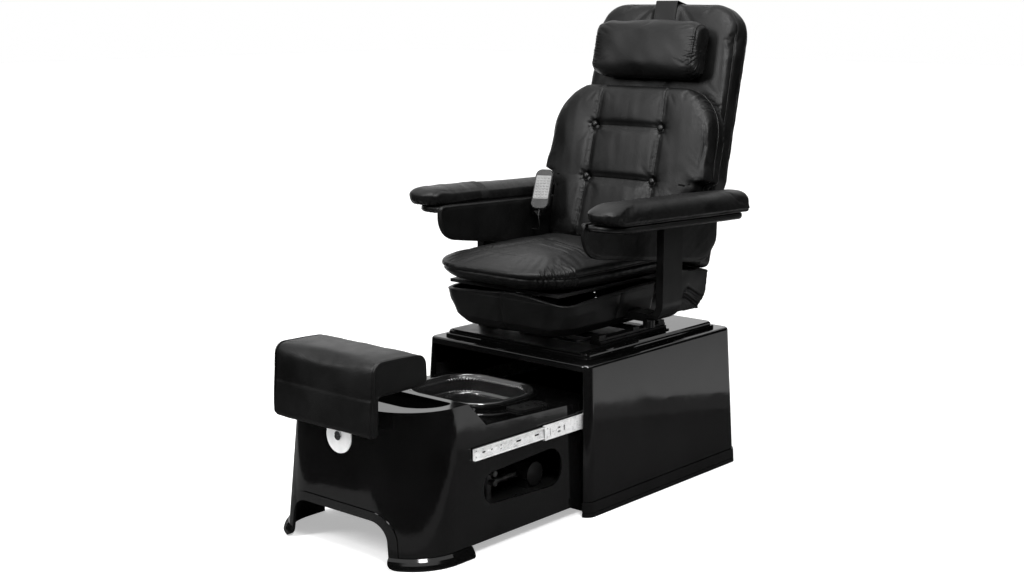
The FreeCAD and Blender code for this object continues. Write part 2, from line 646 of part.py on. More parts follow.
def top_plate():
    front = -v.plateau_depth / 2 - v.plateau_forward
    rear = v.plateau_depth / 2 - v.plateau_forward
    half = v.plateau_width / 2
    step = v.base_height + v.plateau_step
    soft = 2
    tier = loft([rounded_rectangle(half + v.plateau_tier - inset, front - v.plateau_tier + inset,
                                   rear + v.plateau_tier - inset, z, v.plateau_corner)
                 for z, inset in ((v.base_height, 0), (step - soft, 0), (step, soft))])
    top = loft([rounded_rectangle(half - inset, front + inset, rear - inset, z, v.plateau_corner)
                for z, inset in ((v.base_height, 0), (v.plateau_z - 2 * soft, 0), (v.plateau_z, 2 * soft))])
    return node(feature("top_plate", tier.fuse(top)), "top_plate")


def cable_gland():
    """A flanged bush through the rear wall."""
    inner_face = half_depth_of_base(v.gland_z) - v.base_wall
    outer_face = half_depth_of_base(v.gland_z)
    along = Vector(0, 1, 0)
    centre = Vector(v.gland_x, inner_face, v.gland_z)
    flange = Part.makeCylinder(v.gland_radius + 8, 4, Vector(v.gland_x, outer_face + 0.8, v.gland_z), along)
    neck = Part.makeCylinder(v.gland_radius + 2.7, v.base_wall + 6, centre.add(Vector(0, -4, 0)), along)
    bore = Part.makeCylinder(v.gland_radius, v.base_wall + 40, centre.add(Vector(0, -20, 0)), along)
    return node(feature("cable_gland", flange.fuse(neck).cut(bore)), "cable_gland")


def power_supply():
    case = box("supply_case",
               ("-supply_width / 2", "supply_width / 2"),
               ("supply_front", "supply_front + supply_depth"),
               ("floor_board", "floor_board + supply_height"))
    return node(case, "power_supply")


# Drawer slides: a fixed outer member, a middle member and an inner member on the foot bath

def slide_member(name, web_near, web_far, half, flange_end, front, length):
    """A lipped channel on the sitter's left, with its web between two distances from the centre."""
    low, high = "slide_z - (%s)" % half, "slide_z + (%s)" % half
    inside_low, inside_high = low + " + slide_sheet", high + " - slide_sheet"
    outline = [(web_far, low), (web_far, high), (flange_end, high), (flange_end, inside_high),
               (web_near, inside_high), (web_near, inside_low), (flange_end, inside_low),
               (flange_end, low)]
    return prism(name, "XZ", outline, length, shift={"y": "(%s) + (%s)" % (front, length)})


def slide_holes(name, front, count, first, pitch):
    """Round holes across a slide member, as one tool."""
    holes = [cylinder("%s_%d" % (name, i), "screw_radius + 0.1", "slide_depth + 4",
                      "slide_face - 2", "(%s) + %s + %d * (%s)" % (front, first, i, pitch),
                      "slide_z", axis="x") for i in range(count)]
    return fuse(name, holes)


def drawer_slides():
    outer = slide_member("slide_outer_one", "slide_back - slide_sheet", "slide_back", "slide_height / 2",
                         "slide_face + slide_open", "slide_front", "slide_length")
    node(fuse("slide_outer_pair", [outer, mirrored("slide_outer_other", outer)]), "slide_outer")

    middle_front = "slide_front - bath_travel * middle_share"
    middle = slide_member("slide_middle_one",
                          "slide_back - 2 * slide_sheet - slide_gap",
                          "slide_back - slide_sheet - slide_gap",
                          "slide_height / 2 - slide_sheet - slide_gap",
                          "slide_face + slide_open", middle_front, "slide_length - 20")
    vented = cut("slide_middle_vented", middle,
                 slide_holes("slide_middle_holes", middle_front, 2, "34", "14"))
    node(vented, "slide_middle_left")
    node(mirrored("slide_middle_other", vented), "slide_middle_right")

    inner_front = "slide_front - bath_travel"
    inner = slide_member("slide_inner_one", "slide_face + slide_sheet", "slide_face",
                         "slide_height / 2 - 2 * slide_sheet - slide_gap - slide_track",
                         "slide_back - 2 * slide_sheet - 2 * slide_gap", inner_front, "slide_length")
    drilled = cut("slide_inner_drilled", inner,
                  slide_holes("slide_inner_holes", inner_front, 4, "screw_first", "screw_pitch"))
    node(drilled, "slide_inner_left")
    node(mirrored("slide_inner_other", drilled), "slide_inner_right")

    screws = []
    for i in range(4):
        along = "slide_front - bath_travel + screw_first + %d * screw_pitch" % i
        head = cylinder("screw_head_%d" % i, "screw_head", "2", "slide_face + slide_sheet", along,
                        "slide_z", axis="x")
        shank = cylinder("screw_shank_%d" % i, "screw_radius", "slide_sheet + screw_reach",
                         "slide_face - screw_reach", along, "slide_z", axis="x")
        screws.append(fuse("slide_screw_%d" % i, [head, shank]))
    left = fuse("slide_screws_left", screws)
    node(fuse("slide_screws", [left, mirrored("slide_screws_other", left)]), "slide_screws")


# Foot bath

def bath_body(grow):
    """The foot bath's outer form, grown outwards by a distance, as a solid down to the floor."""
    rear = -v.bath_rear
    return loft([rounded_rectangle(half_of_bath(z) + grow, front_of_bath(z) - grow, rear + grow,
                                   z, corner_of_bath(z) + grow, v.bath_corner_rear + min(grow, 0))
                 for z in (0, v.deck_z + min(grow, 0))])


def above_ledge(drop):
    """The space above the slope and the ledge, lowered square to them by a distance."""
    run, fall = v.deck_rear - v.slope_foot, v.deck_z - v.ledge_z
    steep = math.hypot(run, fall)
    slide = -drop * (1 - run / steep) / (fall / steep)
    rear = -v.bath_rear + 20
    outline = [(-v.deck_rear - 0.5 * run + slide, v.deck_z + 0.5 * fall - drop),
               (-v.slope_foot + slide, v.ledge_z - drop),
               (rear, ledge_at(rear) - drop),
               (rear, v.deck_z + fall)]
    wide = v.bath_floor_half + 40
    return extruded(outline, [0, 0, 0, 0], lambda y, z: Vector(-wide, y, z), Vector(2 * wide, 0, 0))


def arch(grow):
    """The opening in the foot bath's front, grown by a distance, as a tool through the front wall."""
    top = v.arch_height + grow
    foot, spread = v.arch_foot_half + grow, v.arch_foot_half + grow + v.arch_foot_round
    outline = [(-spread, -1), (-spread, 0), (-foot, 0), (-v.arch_top_half - grow, top),
               (v.arch_top_half + grow, top), (foot, 0), (spread, 0), (spread, -1)]
    corner = v.arch_corner + grow
    start = -v.bath_front_floor - 50
    return extruded(outline, [0, 0, v.arch_foot_round, corner, corner, v.arch_foot_round, 0, 0],
                    lambda x, z: Vector(x, start, z), Vector(0, 50 + v.bath_corner_floor, 0))


def foot_flare():
    """The feet's outer form, which sweeps out from the sides to a soft edge near the floor."""
    rear = -v.bath_rear
    steps = [(0, v.foot_flare - 4), (v.foot_band * 0.2, v.foot_flare), (v.foot_band * 0.5, v.foot_flare - 2),
             (v.foot_band * 0.75, v.foot_flare * 0.6), (v.foot_band, v.band_proud)]
    return loft([rounded_rectangle(half_of_bath(z) + grow, front_of_bath(z) - grow, rear, z,
                                   corner_of_bath(z) + grow, v.bath_corner_rear)
                 for z, grow in steps])


def side_windows():
    front, rear = -v.window_front, -v.window_rear
    outline = [(front, v.window_z - v.window_front_half), (rear, v.window_z - v.window_rear_half),
               (rear, v.window_z + v.window_rear_half), (front, v.window_z + v.window_front_half)]
    small, large = v.window_front_half - 4, v.window_rear_half - 5
    wide = v.bath_floor_half + 20
    return extruded(outline, [small, large, large, small], lambda y, z: Vector(-wide, y, z),
                    Vector(2 * wide, 0, 0))


def opening_of_basin(grow, z):
    """A level outline of the opening that the basin drops into."""
    edge = v.basin_lip + 3.5
    return rounded_rectangle(v.basin_half - edge + grow, -v.basin_front + edge - grow,
                             -v.basin_rear - edge + grow, z, v.basin_corner - edge + grow)


def tray_outline(grow, z):
    return rounded_rectangle(v.tray_half + grow, -v.tray_front - grow, -v.tray_rear + grow, z,
                             v.tray_corner + grow, v.tray_rear_corner + grow)


def slide_ribs():
    """The flat pads on the foot bath's sides that the inner slide members screw to."""
    reach = v.slide_face - half_of_bath(v.slide_z) + v.bath_wall
    half = v.slide_height / 2 - 2 * v.slide_sheet - 2 * v.slide_gap
    front = v.slide_front - v.bath_travel
    left = block(v.slide_face - reach, v.slide_face, front, -v.bath_rear - 2,
                 v.slide_z - half, v.slide_z + half)
    return left.fuse(left.mirror(Vector(), Vector(1, 0, 0)))


def screw_holes():
    """Blind holes in the pads, a little deeper than the screws."""
    depth = v.screw_reach + 1.2
    holes = []
    for i in range(4):
        y = v.slide_front - v.bath_travel + v.screw_first + i * v.screw_pitch
        for side in (-1, 1):
            holes.append(Part.makeCylinder(v.screw_radius + 0.1, depth + 1,
                                           Vector(side * (v.slide_face + 1), y, v.slide_z),
                                           Vector(-side, 0, 0)))
    return holes


def bath_shell():
    wall = v.bath_wall
    inner = bath_body(-wall)
    shell = bath_body(0).cut(above_ledge(0)).cut(inner.cut(above_ledge(wall)))

    collar = loft([opening_of_basin(v.collar_width, z)
                   for z in (ledge_at(-v.basin_rear) - 2 * wall, v.collar_z)])
    well = loft([tray_outline(wall, v.deck_z - v.tray_depth - wall), tray_outline(wall, v.deck_z - 1)])
    shell = shell.fuse(collar).fuse(well)

    band_height = v.arch_height + v.arch_band
    ahead = block(-400, 400, -1200, -v.foot_rear, 0, band_height)
    band = bath_body(v.band_proud).common(ahead).common(arch(v.arch_band)).cut(inner)
    feet = foot_flare().common(ahead).cut(inner)
    shell = shell.fuse(band).fuse(feet).fuse(slide_ribs())

    recess = loft([tray_outline(0, v.deck_z - v.tray_depth), tray_outline(0, v.deck_z + 1)])
    hole = loft([opening_of_basin(0, z) for z in (v.basin_bottom, v.deck_z)])
    under = block(-400, 400, -v.foot_rear, 0, -1, v.bath_clear)
    gap = v.snug + 0.4
    post = block(-v.post_width / 2 - gap, v.post_width / 2 + gap,
                 -v.post_forward - v.post_depth / 2 - gap, -v.post_forward + v.post_depth / 2 + gap,
                 v.deck_z - 2 * wall, v.deck_z + 1)
    lock = Part.makeCylinder(v.hub_radius / 2 + v.play, 40, Vector(0, -20, 0), Vector(0, 1, 0))
    lock.Placement = lock_placement()
    for tool in [recess, hole, under, post, lock, arch(0), side_windows()] + screw_holes():
        shell = shell.cut(tool)
    return node(feature("bath_shell", shell), "bath_shell")


def equipment_tray():
    half = half_of_bath(v.equipment_top) - v.bath_wall
    corner = v.bath_corner_rear - v.bath_wall + 2
    tray = loft([rounded_rectangle(half, -v.window_front - 60, -v.bath_rear - v.bath_wall, z, corner)
                 for z in (v.equipment_z, v.equipment_top)])
    return node(feature("equipment_tray", tray), "equipment_tray")


def basin():
    bottom, top = v.basin_bottom, v.collar_z + v.basin_rim
    seat = v.collar_z + v.snug
    play = -1.5
    taper = v.basin_taper

    def outline(inset, z):
        return rounded_rectangle(v.basin_half - inset, -v.basin_front + inset, -v.basin_rear - inset,
                                 z, v.basin_corner - inset)

    edge = v.basin_lip + 3.5 - play
    flange = loft([outline(-2, seat), outline(-2, seat + 3), outline(0, top - 3), outline(2, top)])
    bowl = loft([outline(edge, seat + 1), outline(edge + taper * 0.35, (seat + bottom) / 2),
                 outline(edge + taper, bottom)])
    inside = loft([outline(v.basin_lip, top + 0.5), outline(edge + v.basin_wall, seat - 2),
                   outline(edge + v.basin_wall + taper * 0.35, (seat + bottom) / 2),
                   outline(edge + v.basin_wall + taper, bottom + v.basin_wall)])
    return node(feature("basin", flange.fuse(bowl).cut(inside)), "basin")


def control_pod():
    """A low box that follows the ledge's fall, with a well for each button."""
    fall = "tan(ledge_slope)"
    front_z = "ledge_z - (slope_foot - pod_front) * " + fall
    rear_z = "ledge_z - (slope_foot - pod_front + pod_length) * " + fall
    outline = [("-pod_front", front_z), ("pod_length - pod_front", rear_z),
               ("pod_length - pod_front", rear_z + " + pod_height"),
               ("-pod_front", front_z + " + pod_height")]
    case = prism("pod_case", "YZ", outline, "pod_width", shift={"x": "pod_inner"})
    spots = [Vector(x, y, 0) for x in (0, v.pod_width) for y in (-v.pod_front, v.pod_length - v.pod_front)]
    case = rounded(case, "pod_corner", spots, Vector(0, 0, 1))
    wells = []
    for i in range(2):
        along = "button_first + %d * button_pitch - pod_front" % i
        wells.append(cylinder("pod_well_%d" % i, "button_radius + play", "pod_height * 2",
                              "pod_inner + pod_width / 2", along, button_floor(i) + " - button_travel - 0.3"))
    return node(cut("pod_with_wells", case, fuse("pod_wells", wells)), "control_pod")


def button_floor(i):
    """Underside of a control button, as an expression."""
    drop = "(slope_foot - pod_front + button_first + %d * button_pitch) * tan(ledge_slope)" % i
    return "ledge_z - %s + pod_height / 2" % drop


def control_buttons():
    for i, label in enumerate(("jet_button", "drain_button")):
        button = cylinder("button_%d" % i, "button_radius", "pod_height / 2 + button_proud",
                          "pod_inner + pod_width / 2",
                          "button_first + %d * button_pitch - pod_front" % i, button_floor(i))
        node(button, label)


def lock_placement():
    """The frame of the lock: its -Y looks square out of the leaning front wall."""
    lean = math.degrees(math.atan((v.bath_front_floor - v.bath_front_deck) / v.deck_z))
    return Placement(Vector(0, front_of_bath(v.lock_z), v.lock_z), Rotation(Vector(1, 0, 0), -lean))


def lock():
    out = Vector(0, -1, 0)
    origin = Vector()
    plate = Part.makeCylinder(v.lock_radius, v.lock_sheet, origin, out)
    rim = [e for e in plate.Edges if len(e.Vertexes) == 1 and abs(e.CenterOfMass.y + v.lock_sheet) < 1e-6]
    plate = plate.makeFillet(v.lock_sheet / 2, rim)
    plate = plate.cut(Part.makeCylinder(v.hub_radius + v.play, v.lock_sheet + 2, Vector(0, 1, 0), out))
    node(feature("lock_plate", plate, lock_placement()), "lock_plate")

    behind = v.bath_wall + v.snug + 0.2
    tab_sheet = 3
    hub = Part.makeCylinder(v.hub_radius, v.lock_sheet + v.hub_proud - v.snug, Vector(0, -v.snug, 0), out)
    slot = block(-v.hub_radius, v.hub_radius, -v.lock_sheet - v.hub_proud - 1,
                 -v.lock_sheet - v.hub_proud + 2, -1.5, 1.5)
    shaft = Part.makeCylinder(v.hub_radius / 2, behind + tab_sheet + 1, Vector(0, behind + tab_sheet, 0), out)
    tab = block(-4, 4, behind, behind + tab_sheet, -v.hub_radius / 2, v.hub_radius)
    node(feature("lock_cam", hub.cut(slot).fuse(shaft).fuse(tab), lock_placement()), "lock_cam")


# Footrest

def footrest_carrier():
    gap = "(snug + 0.1)"
    sleeve = box("sleeve_block",
                 ("-post_width / 2 - %s - sleeve_wall" % gap, "post_width / 2 + %s + sleeve_wall" % gap),
                 ("-post_forward - post_depth / 2 - %s - sleeve_wall" % gap,
                  "post_depth / 2 + %s + sleeve_wall - post_forward" % gap),
                 ("sleeve_bottom", "deck_z - bath_wall"))
    bore = box("sleeve_bore",
               ("-post_width / 2 - " + gap, "post_width / 2 + " + gap),
               ("-post_forward - post_depth / 2 - " + gap, "post_depth / 2 + %s - post_forward" % gap),
               ("sleeve_bottom - 1", "deck_z"))
    node(cut("sleeve_bored", sleeve, bore), "footrest_sleeve")

    post = box("post_bar",
               ("-post_width / 2", "post_width / 2"),
               ("-post_forward - post_depth / 2", "post_depth / 2 - post_forward"),
               ("post_bottom", "rest_under - plate_sheet / 2"))
    plate = box("post_plate",
                ("-plate_width / 2", "plate_width / 2"),
                ("-plate_front", "-plate_rear"),
                ("rest_under - plate_sheet", "rest_under"))
    node(fuse("post_with_plate", [post, plate]), "footrest_post")


def footrest_pad():
    """A block with a hanging front flap, rounded edges and slightly bulging ends."""
    front, rear = -v.rest_front, -v.rest_rear
    flap = -v.rest_flap_rear

    def section(x, inset):
        corners = [(front + inset, v.rest_flap_bottom + inset), (flap - inset, v.rest_flap_bottom + inset),
                   (flap - inset, v.rest_under + inset), (rear - inset, v.rest_under + inset),
                   (rear - inset - 3, v.rest_top - inset - 4), (front + inset + 12, v.rest_top - inset)]
        radii = [14, 14, 8, 14, v.rest_round, v.rest_round]
        return rounded_outline(corners, [max(r - inset, 3) for r in radii],
                               lambda y, z: Vector(x, y, z))

    half = v.rest_half
    crown = v.rest_crown
    steps = [(-half, 11), (-half + crown * 0.35, 6), (-half + crown * 1.2, 2), (-half + crown * 2.6, 0)]
    steps += [(-x, inset) for x, inset in reversed(steps)]
    return node(feature("footrest_pad", loft([section(x, inset) for x, inset in steps])), "footrest_pad")


# Pump, motor and pipework in the foot bath

def bath_equipment():
    seat = "equipment_top"
    centre = "-(basin_front + basin_rear) / 2"
    case = cylinder("motor_case", "motor_radius", "motor_height", "0", centre, seat)
    neck = cylinder("motor_neck", "motor_radius * 0.62", "basin_bottom - equipment_top - snug", "0", centre,
                    seat)
    node(fuse("motor", [case, neck]), "jet_motor")

    pump_z = "equipment_top + pump_radius + 6"
    drum = cylinder("pump_drum", "pump_radius", "pump_length", "pump_x", "-pump_forward", pump_z, axis="x")
    foot = box("pump_foot", ("pump_x + 8", "pump_x + pump_length - 8"),
               ("-pump_forward - pump_radius * 0.8", "pump_radius * 0.8 - pump_forward"),
               (seat, pump_z))
    hose_x = "pump_x + pump_length / 2"
    spout = cylinder("pump_spout", "hose_radius + 1", "spout_length + pump_radius / 2", hose_x,
                     "-pump_forward - pump_radius - spout_length", pump_z, axis="y")
    node(fuse("pump", [drum, foot, spout]), "drain_pump")

    hose_y = "-pump_forward - pump_radius - spout_length - hose_length"
    tube = cylinder("hose_tube", "hose_radius", "hose_length", hose_x, hose_y, pump_z, axis="y")
    bore = cylinder("hose_inside", "hose_bore", "hose_length + 2", hose_x, hose_y + " - 1", pump_z, axis="y")
    hose = cut("hose", tube, bore)

    fitting_y = hose_y + " - fitting_radius * 0.6"
    stand = cylinder("fitting_stand", "fitting_radius", "fitting_height", hose_x, fitting_y, seat)
    branches = [cylinder("fitting_branch_%d" % i, "fitting_radius * 0.7", "fitting_radius * 2.6",
                         hose_x, fitting_y, seat + " + fitting_height * " + share, axis="x")
                for i, share in enumerate(("0.52", "0.84"))]
    node(fuse("hose_and_fitting", [hose, stand] + branches), "hose_and_fitting")


# Seat slide

def seat_rails():
    """Fixed channels, open along the top for the runners."""
    outer = "rail_width / 2"
    outline = [("-" + outer, "0"), (outer, "0"), (outer, "rail_height"),
               ("runner_slot / 2", "rail_height"), ("runner_slot / 2", "rail_height - rail_sheet"),
               (outer + " - rail_sheet", "rail_height - rail_sheet"), (outer + " - rail_sheet", "rail_sheet"),
               ("rail_sheet - " + outer, "rail_sheet"), ("rail_sheet - " + outer, "rail_height - rail_sheet"),
               ("-runner_slot / 2", "rail_height - rail_sheet"), ("-runner_slot / 2", "rail_height"),
               ("-" + outer, "rail_height")]
    rail = prism("seat_rail", "XZ", outline, "rail_length",
                 shift={"x": "rail_x", "y": "rail_length - rail_front", "z": "mount_top"})
    node(fuse("seat_rail_pair", [rail, mirrored("seat_rail_other", rail)]), "seat_rails")


def seat_runners():
    """Runners whose feet sit inside the rails and whose tops carry the seat frame."""
    foot = "rail_width / 2 - rail_sheet - 1"
    stem = "runner_slot / 2 - 1"
    outline = [("-(%s)" % foot, "rail_sheet + snug"), (foot, "rail_sheet + snug"),
               (foot, "rail_height - rail_sheet - snug"), (stem, "rail_height - rail_sheet - snug"),
               (stem, "rail_height + snug"), ("runner_width / 2", "rail_height + snug"),
               ("runner_width / 2", "rail_height + runner_height"),
               ("-runner_width / 2", "rail_height + runner_height"),
               ("-runner_width / 2", "rail_height + snug"), ("-(%s)" % stem, "rail_height + snug"),
               ("-(%s)" % stem, "rail_height - rail_sheet - snug"),
               ("-(%s)" % foot, "rail_height - rail_sheet - snug")]
    runner = prism("seat_runner", "XZ", outline, "rail_length",
                   shift={"x": "rail_x", "y": "rail_length - rail_front", "z": "mount_top"})
    node(fuse("seat_runner_pair", [runner, mirrored("seat_runner_other", runner)]), "seat_runners")


def mount_plate():
    plate = box("mount_sheet_plate", ("-mount_width / 2", "mount_width / 2"),
                ("-mount_front", "mount_rear"), ("plateau_z", "mount_top"))
    return node(plate, "seat_mount_plate")


def release_bar():
    """A bent rod across the front of the rails, held in the runners' inner sides."""
    z = v.rail_top + v.runner_height / 2
    inner_side = v.rail_x - v.runner_width / 2
    bend = 14
    path = [Vector(inner_side - 1, -v.release_pivot, z), Vector(v.release_x - 8, -v.release_pivot, z),
            Vector(v.release_x - 8, -v.release_front, z), Vector(-v.release_x + 8, -v.release_front, z),
            Vector(-v.release_x + 8, -v.release_pivot, z), Vector(-inner_side + 1, -v.release_pivot, z)]
    radius = v.release_radius - 1.5
    handle = bent_rod(path, bend, radius)
    return node(feature("release_bar", handle), "release_bar")


def bent_rod(path, bend, radius):
    """A round rod along straight runs, with a tangent arc at each corner."""
    edges = []
    here = path[0]
    for i in range(1, len(path) - 1):
        corner, following = path[i], path[i + 1]
        back = path[i - 1].sub(corner).normalize()
        ahead = Vector(following).sub(corner).normalize()
        half = back.getAngle(ahead) / 2
        shortest = min(path[i - 1].distanceToPoint(corner), corner.distanceToPoint(following))
        turn = min(bend, 0.45 * shortest * math.tan(half))
        reach = turn / math.tan(half)
        start, end = corner.add(back * reach), corner.add(ahead * reach)
        bisector = back.add(ahead).normalize()
        middle = corner.add(bisector * (turn / math.sin(half) - turn))
        edges.append(Part.LineSegment(here, start).toShape())
        edges.append(Part.Arc(start, middle, end).toShape())
        here = end
    edges.append(Part.LineSegment(here, path[-1]).toShape())
    wire = Part.Wire(edges)
    first = path[1].sub(path[0])
    section = Part.Wire([Part.makeCircle(radius, path[0], first)])
    return wire.makePipeShell([section], True, False)


# Seat

def seat_frame():
    """Beams on the runners, uprights under the seat board and a socket for each armrest."""
    parts = []
    rows = {"front": "-beam_front", "middle": "leg_centre", "rear": "beam_rear"}
    for name, y in rows.items():
        parts.append(box("beam_" + name, ("-beam_half", "beam_half"),
                         (y + " - beam_depth / 2", y + " + beam_depth / 2"), ("runner_top", "beam_top")))
    for name, y in rows.items():
        for side, x in (("left", "upright_x"), ("right", "-upright_x")):
            parts.append(box("upright_%s_%s" % (name, side),
                             (x + " - upright / 2", x + " + upright / 2"),
                             (y + " - upright / 2", y + " + upright / 2"), ("runner_top", "board_z")))
    for side, x in (("left", "upright_x"), ("right", "-upright_x")):
        parts.append(box("side_bar_" + side, (x + " - upright / 2", x + " + upright / 2"),
                         ("-beam_front", "beam_rear"), ("runner_top", "beam_top")))
    tube = box("socket_tube", ("upright_x", "socket_outer"),
               ("leg_centre - socket_half - socket_wall", "leg_centre + socket_half + socket_wall"),
               ("socket_z - socket_wall", "socket_z + socket_bore + socket_wall"))
    parts += [tube, mirrored("socket_tube_other", tube)]
    bore = box("socket_bore_tool", ("upright_x + upright / 2 + 6", "socket_outer + 1"),
               ("leg_centre - socket_half", "leg_centre + socket_half"),
               ("socket_z", "socket_z + socket_bore"))
    stem = cylinder("stem_hole", "knob_stem + play", "socket_wall + 4", "knob_x", "leg_centre",
                    "socket_z - socket_wall - 2")
    notch = box("release_notch_tool", ("release_x - 8 - 2 * release_radius", "release_x - 8 + 2 * release_radius"),
                ("-beam_front - beam_depth", "-beam_front + beam_depth"),
                ("runner_top - 1", "runner_top + release_notch"))
    tools = fuse("socket_tools", [bore, stem, notch])
    frame = cut("seat_frame_left_bored", fuse("seat_frame_solid", parts), tools)
    node(cut("seat_frame_bored", frame, mirrored("socket_tools_other", tools)), "seat_frame")


def recline_brackets():
    """Two plates that rise from the rear beam to the hinge, each with its pin."""
    low = "beam_rear - beam_depth / 2"
    outline = [(low, "beam_top"), ("beam_rear + beam_depth / 2", "beam_top"),
               ("hinge_y + 20", "hinge_z - 14"), ("hinge_y + 20", "hinge_z + 20"),
               ("hinge_y - 20", "hinge_z + 20"), (low, "beam_top + 48")]
    plate = prism("bracket_plate", "YZ", outline, "bracket_sheet", shift={"x": "bracket_x"})
    pin = cylinder("bracket_pin", "pin_radius", "bracket_sheet + 2 * lug_gap + lug_sheet + 1", "bracket_x",
                   "hinge_y", "hinge_z", axis="x")
    head = cylinder("bracket_pin_head", "pin_radius + 3", "3", "lug_outer + lug_gap", "hinge_y", "hinge_z",
                    axis="x")
    left = fuse("bracket_left", [plate, pin, head])
    node(fuse("bracket_pair", [left, mirrored("bracket_other", left)]), "recline_brackets")


def recline_actuator():
    case = box("actuator_case", ("-actuator_half", "actuator_half"), ("-actuator_front", "actuator_rear"),
               ("actuator_z - actuator_half * 0.7", "actuator_z + actuator_half * 0.7"))
    foot = box("actuator_foot", ("-actuator_half", "actuator_half"),
               ("leg_centre - beam_depth / 2", "leg_centre + beam_depth / 2"),
               ("beam_top", "actuator_z"))
    bore = cylinder("actuator_bore", "rod_radius + play", "rod_length", "0", "hinge_y - rod_reach - rod_length",
                    "actuator_z", axis="y")
    node(cut("actuator_bored", fuse("actuator_solid", [case, foot]), bore), "recline_actuator")
    rod = cylinder("rod_bar", "rod_radius", "rod_length - 32", "0", "hinge_y - rod_reach - rod_length + 32",
                   "actuator_z", axis="y")
    node(rod, "recline_rod")


def skirt_outline(share, z, inset):
    """A level outline of the skirt: share 0 at its lower edge, 1 at its rim."""
    half = v.skirt_foot_half + (v.skirt_half - v.skirt_foot_half) * share
    front = v.skirt_foot_front + (v.skirt_front - v.skirt_foot_front) * share
    return rounded_rectangle(half - inset, -front + inset, v.skirt_rear - inset, z,
                             v.skirt_corner - inset, 30 - inset)


def seat_skirt():
    """A bowl-shaped upholstered apron round the seat frame, open above and below."""
    low, high = v.beam_top, v.skirt_top
    steps = [(0, 0), (0.42, 0.09), (0.74, 0.3), (0.93, 0.68), (1, 1)]

    def stack(inset, over):
        wires = []
        for share, climb in steps:
            z = low + (high - low) * climb
            if climb in (0, 1):
                z += over if climb else -over
            wires.append(skirt_outline(share, z, inset))
        return loft(wires)

    skirt = stack(0, 0).cut(stack(v.skirt_wall, 0.5))
    gap = 1
    socket = block(-v.socket_outer, v.socket_outer, v.leg_centre - v.socket_half - v.socket_wall - gap,
                   v.leg_centre + v.socket_half + v.socket_wall + gap,
                   v.socket_z - v.socket_wall - gap, v.socket_z + v.socket_bore + v.socket_wall + gap)
    rod = Part.makeCylinder(v.rod_radius + 4, 2 * v.skirt_wall + 40,
                            Vector(0, v.skirt_rear - v.skirt_wall - 20, v.actuator_z), Vector(0, 1, 0))
    return node(feature("seat_skirt", skirt.cut(socket).cut(rod)), "seat_skirt")


def seat_board():
    board = box("seat_board_sheet", ("-board_half", "board_half"), ("-board_front", "board_rear"),
                ("board_z", "cushion_z"))
    return node(board, "seat_board")


def seat_cushion():
    """A crowned cushion whose front swells out to a seam, with a pair of sewn channels along its top."""
    thick = v.cushion_thick
    # Each level: share of the thickness, how far it lies inside the front, and inside the sides.
    steps = [(0, 104, 58), (0.05, 84, 42), (0.14, 52, 20), (0.3, 26, 6), (0.5, 4, 0), (0.55, 7, 4),
             (0.61, 0, 0), (0.75, 7, 3), (0.88, 26, 14), (0.95, 54, 34), (1, 98, 72)]
    wires = [rounded_rectangle(v.cushion_half - side, -v.cushion_front + front, v.cushion_rear - side * 0.5,
                               v.cushion_z + thick * share, v.cushion_corner - side * 0.5, 24)
             for share, front, side in steps]
    cushion = loft(wires)
    channel = v.seam_radius
    for x in (-v.seat_seam_x, v.seat_seam_x):
        cushion = cushion.cut(Part.makeCylinder(channel, v.cushion_front * 0.62,
                                                Vector(x, -v.cushion_front * 0.6, v.cushion_z + thick),
                                                Vector(0, 1, 0)))
    return node(feature("seat_cushion", cushion), "seat_cushion")


# Backrest, drawn in its own frame: origin on the recline hinge, z up along the lean

def back_placement():
    return Placement(Vector(0, v.hinge_y, v.hinge_z), Rotation(Vector(1, 0, 0), -v.lean))


def upright_plane(y):
    return lambda x, z: Vector(x, y, z)


def back_frame():
    """A panel between the cushions, a lug round each hinge pin and a lever under the middle."""
    panel = block(-v.panel_half, v.panel_half, v.pad_rear, v.pad_rear + v.panel_sheet,
                  v.panel_bottom, v.panel_top)
    eye = v.lug_radius
    heel, climb = v.pad_rear + v.panel_sheet + v.lug_heel, v.panel_bottom + v.lug_climb
    outline = [(-eye, -eye), (eye, -eye), (heel, climb), (v.pad_rear, climb), (-eye, eye)]
    lug = extruded(outline, [eye - 2, eye - 2, 0, 0, 6], lambda y, z: Vector(v.lug_inner, y, z),
                   Vector(v.lug_sheet, 0, 0))
    lug = lug.cut(Part.makeCylinder(v.pin_radius + v.play, 60, Vector(v.lug_inner - 20, 0, 0),
                                    Vector(1, 0, 0)))
    lever = extruded([(v.pad_rear + v.panel_sheet, v.panel_bottom + 8), (v.pad_rear, v.panel_bottom + 8),
                      (-8, -v.lever_length), (10, -v.lever_length)], [0, 0, 6, 6],
                     lambda y, z: Vector(-v.lever_half, y, z), Vector(2 * v.lever_half, 0, 0))
    frame = panel.fuse(lug).fuse(lug.mirror(Vector(), Vector(1, 0, 0))).fuse(lever)
    return node(feature("back_frame", frame, back_placement()), "back_frame")


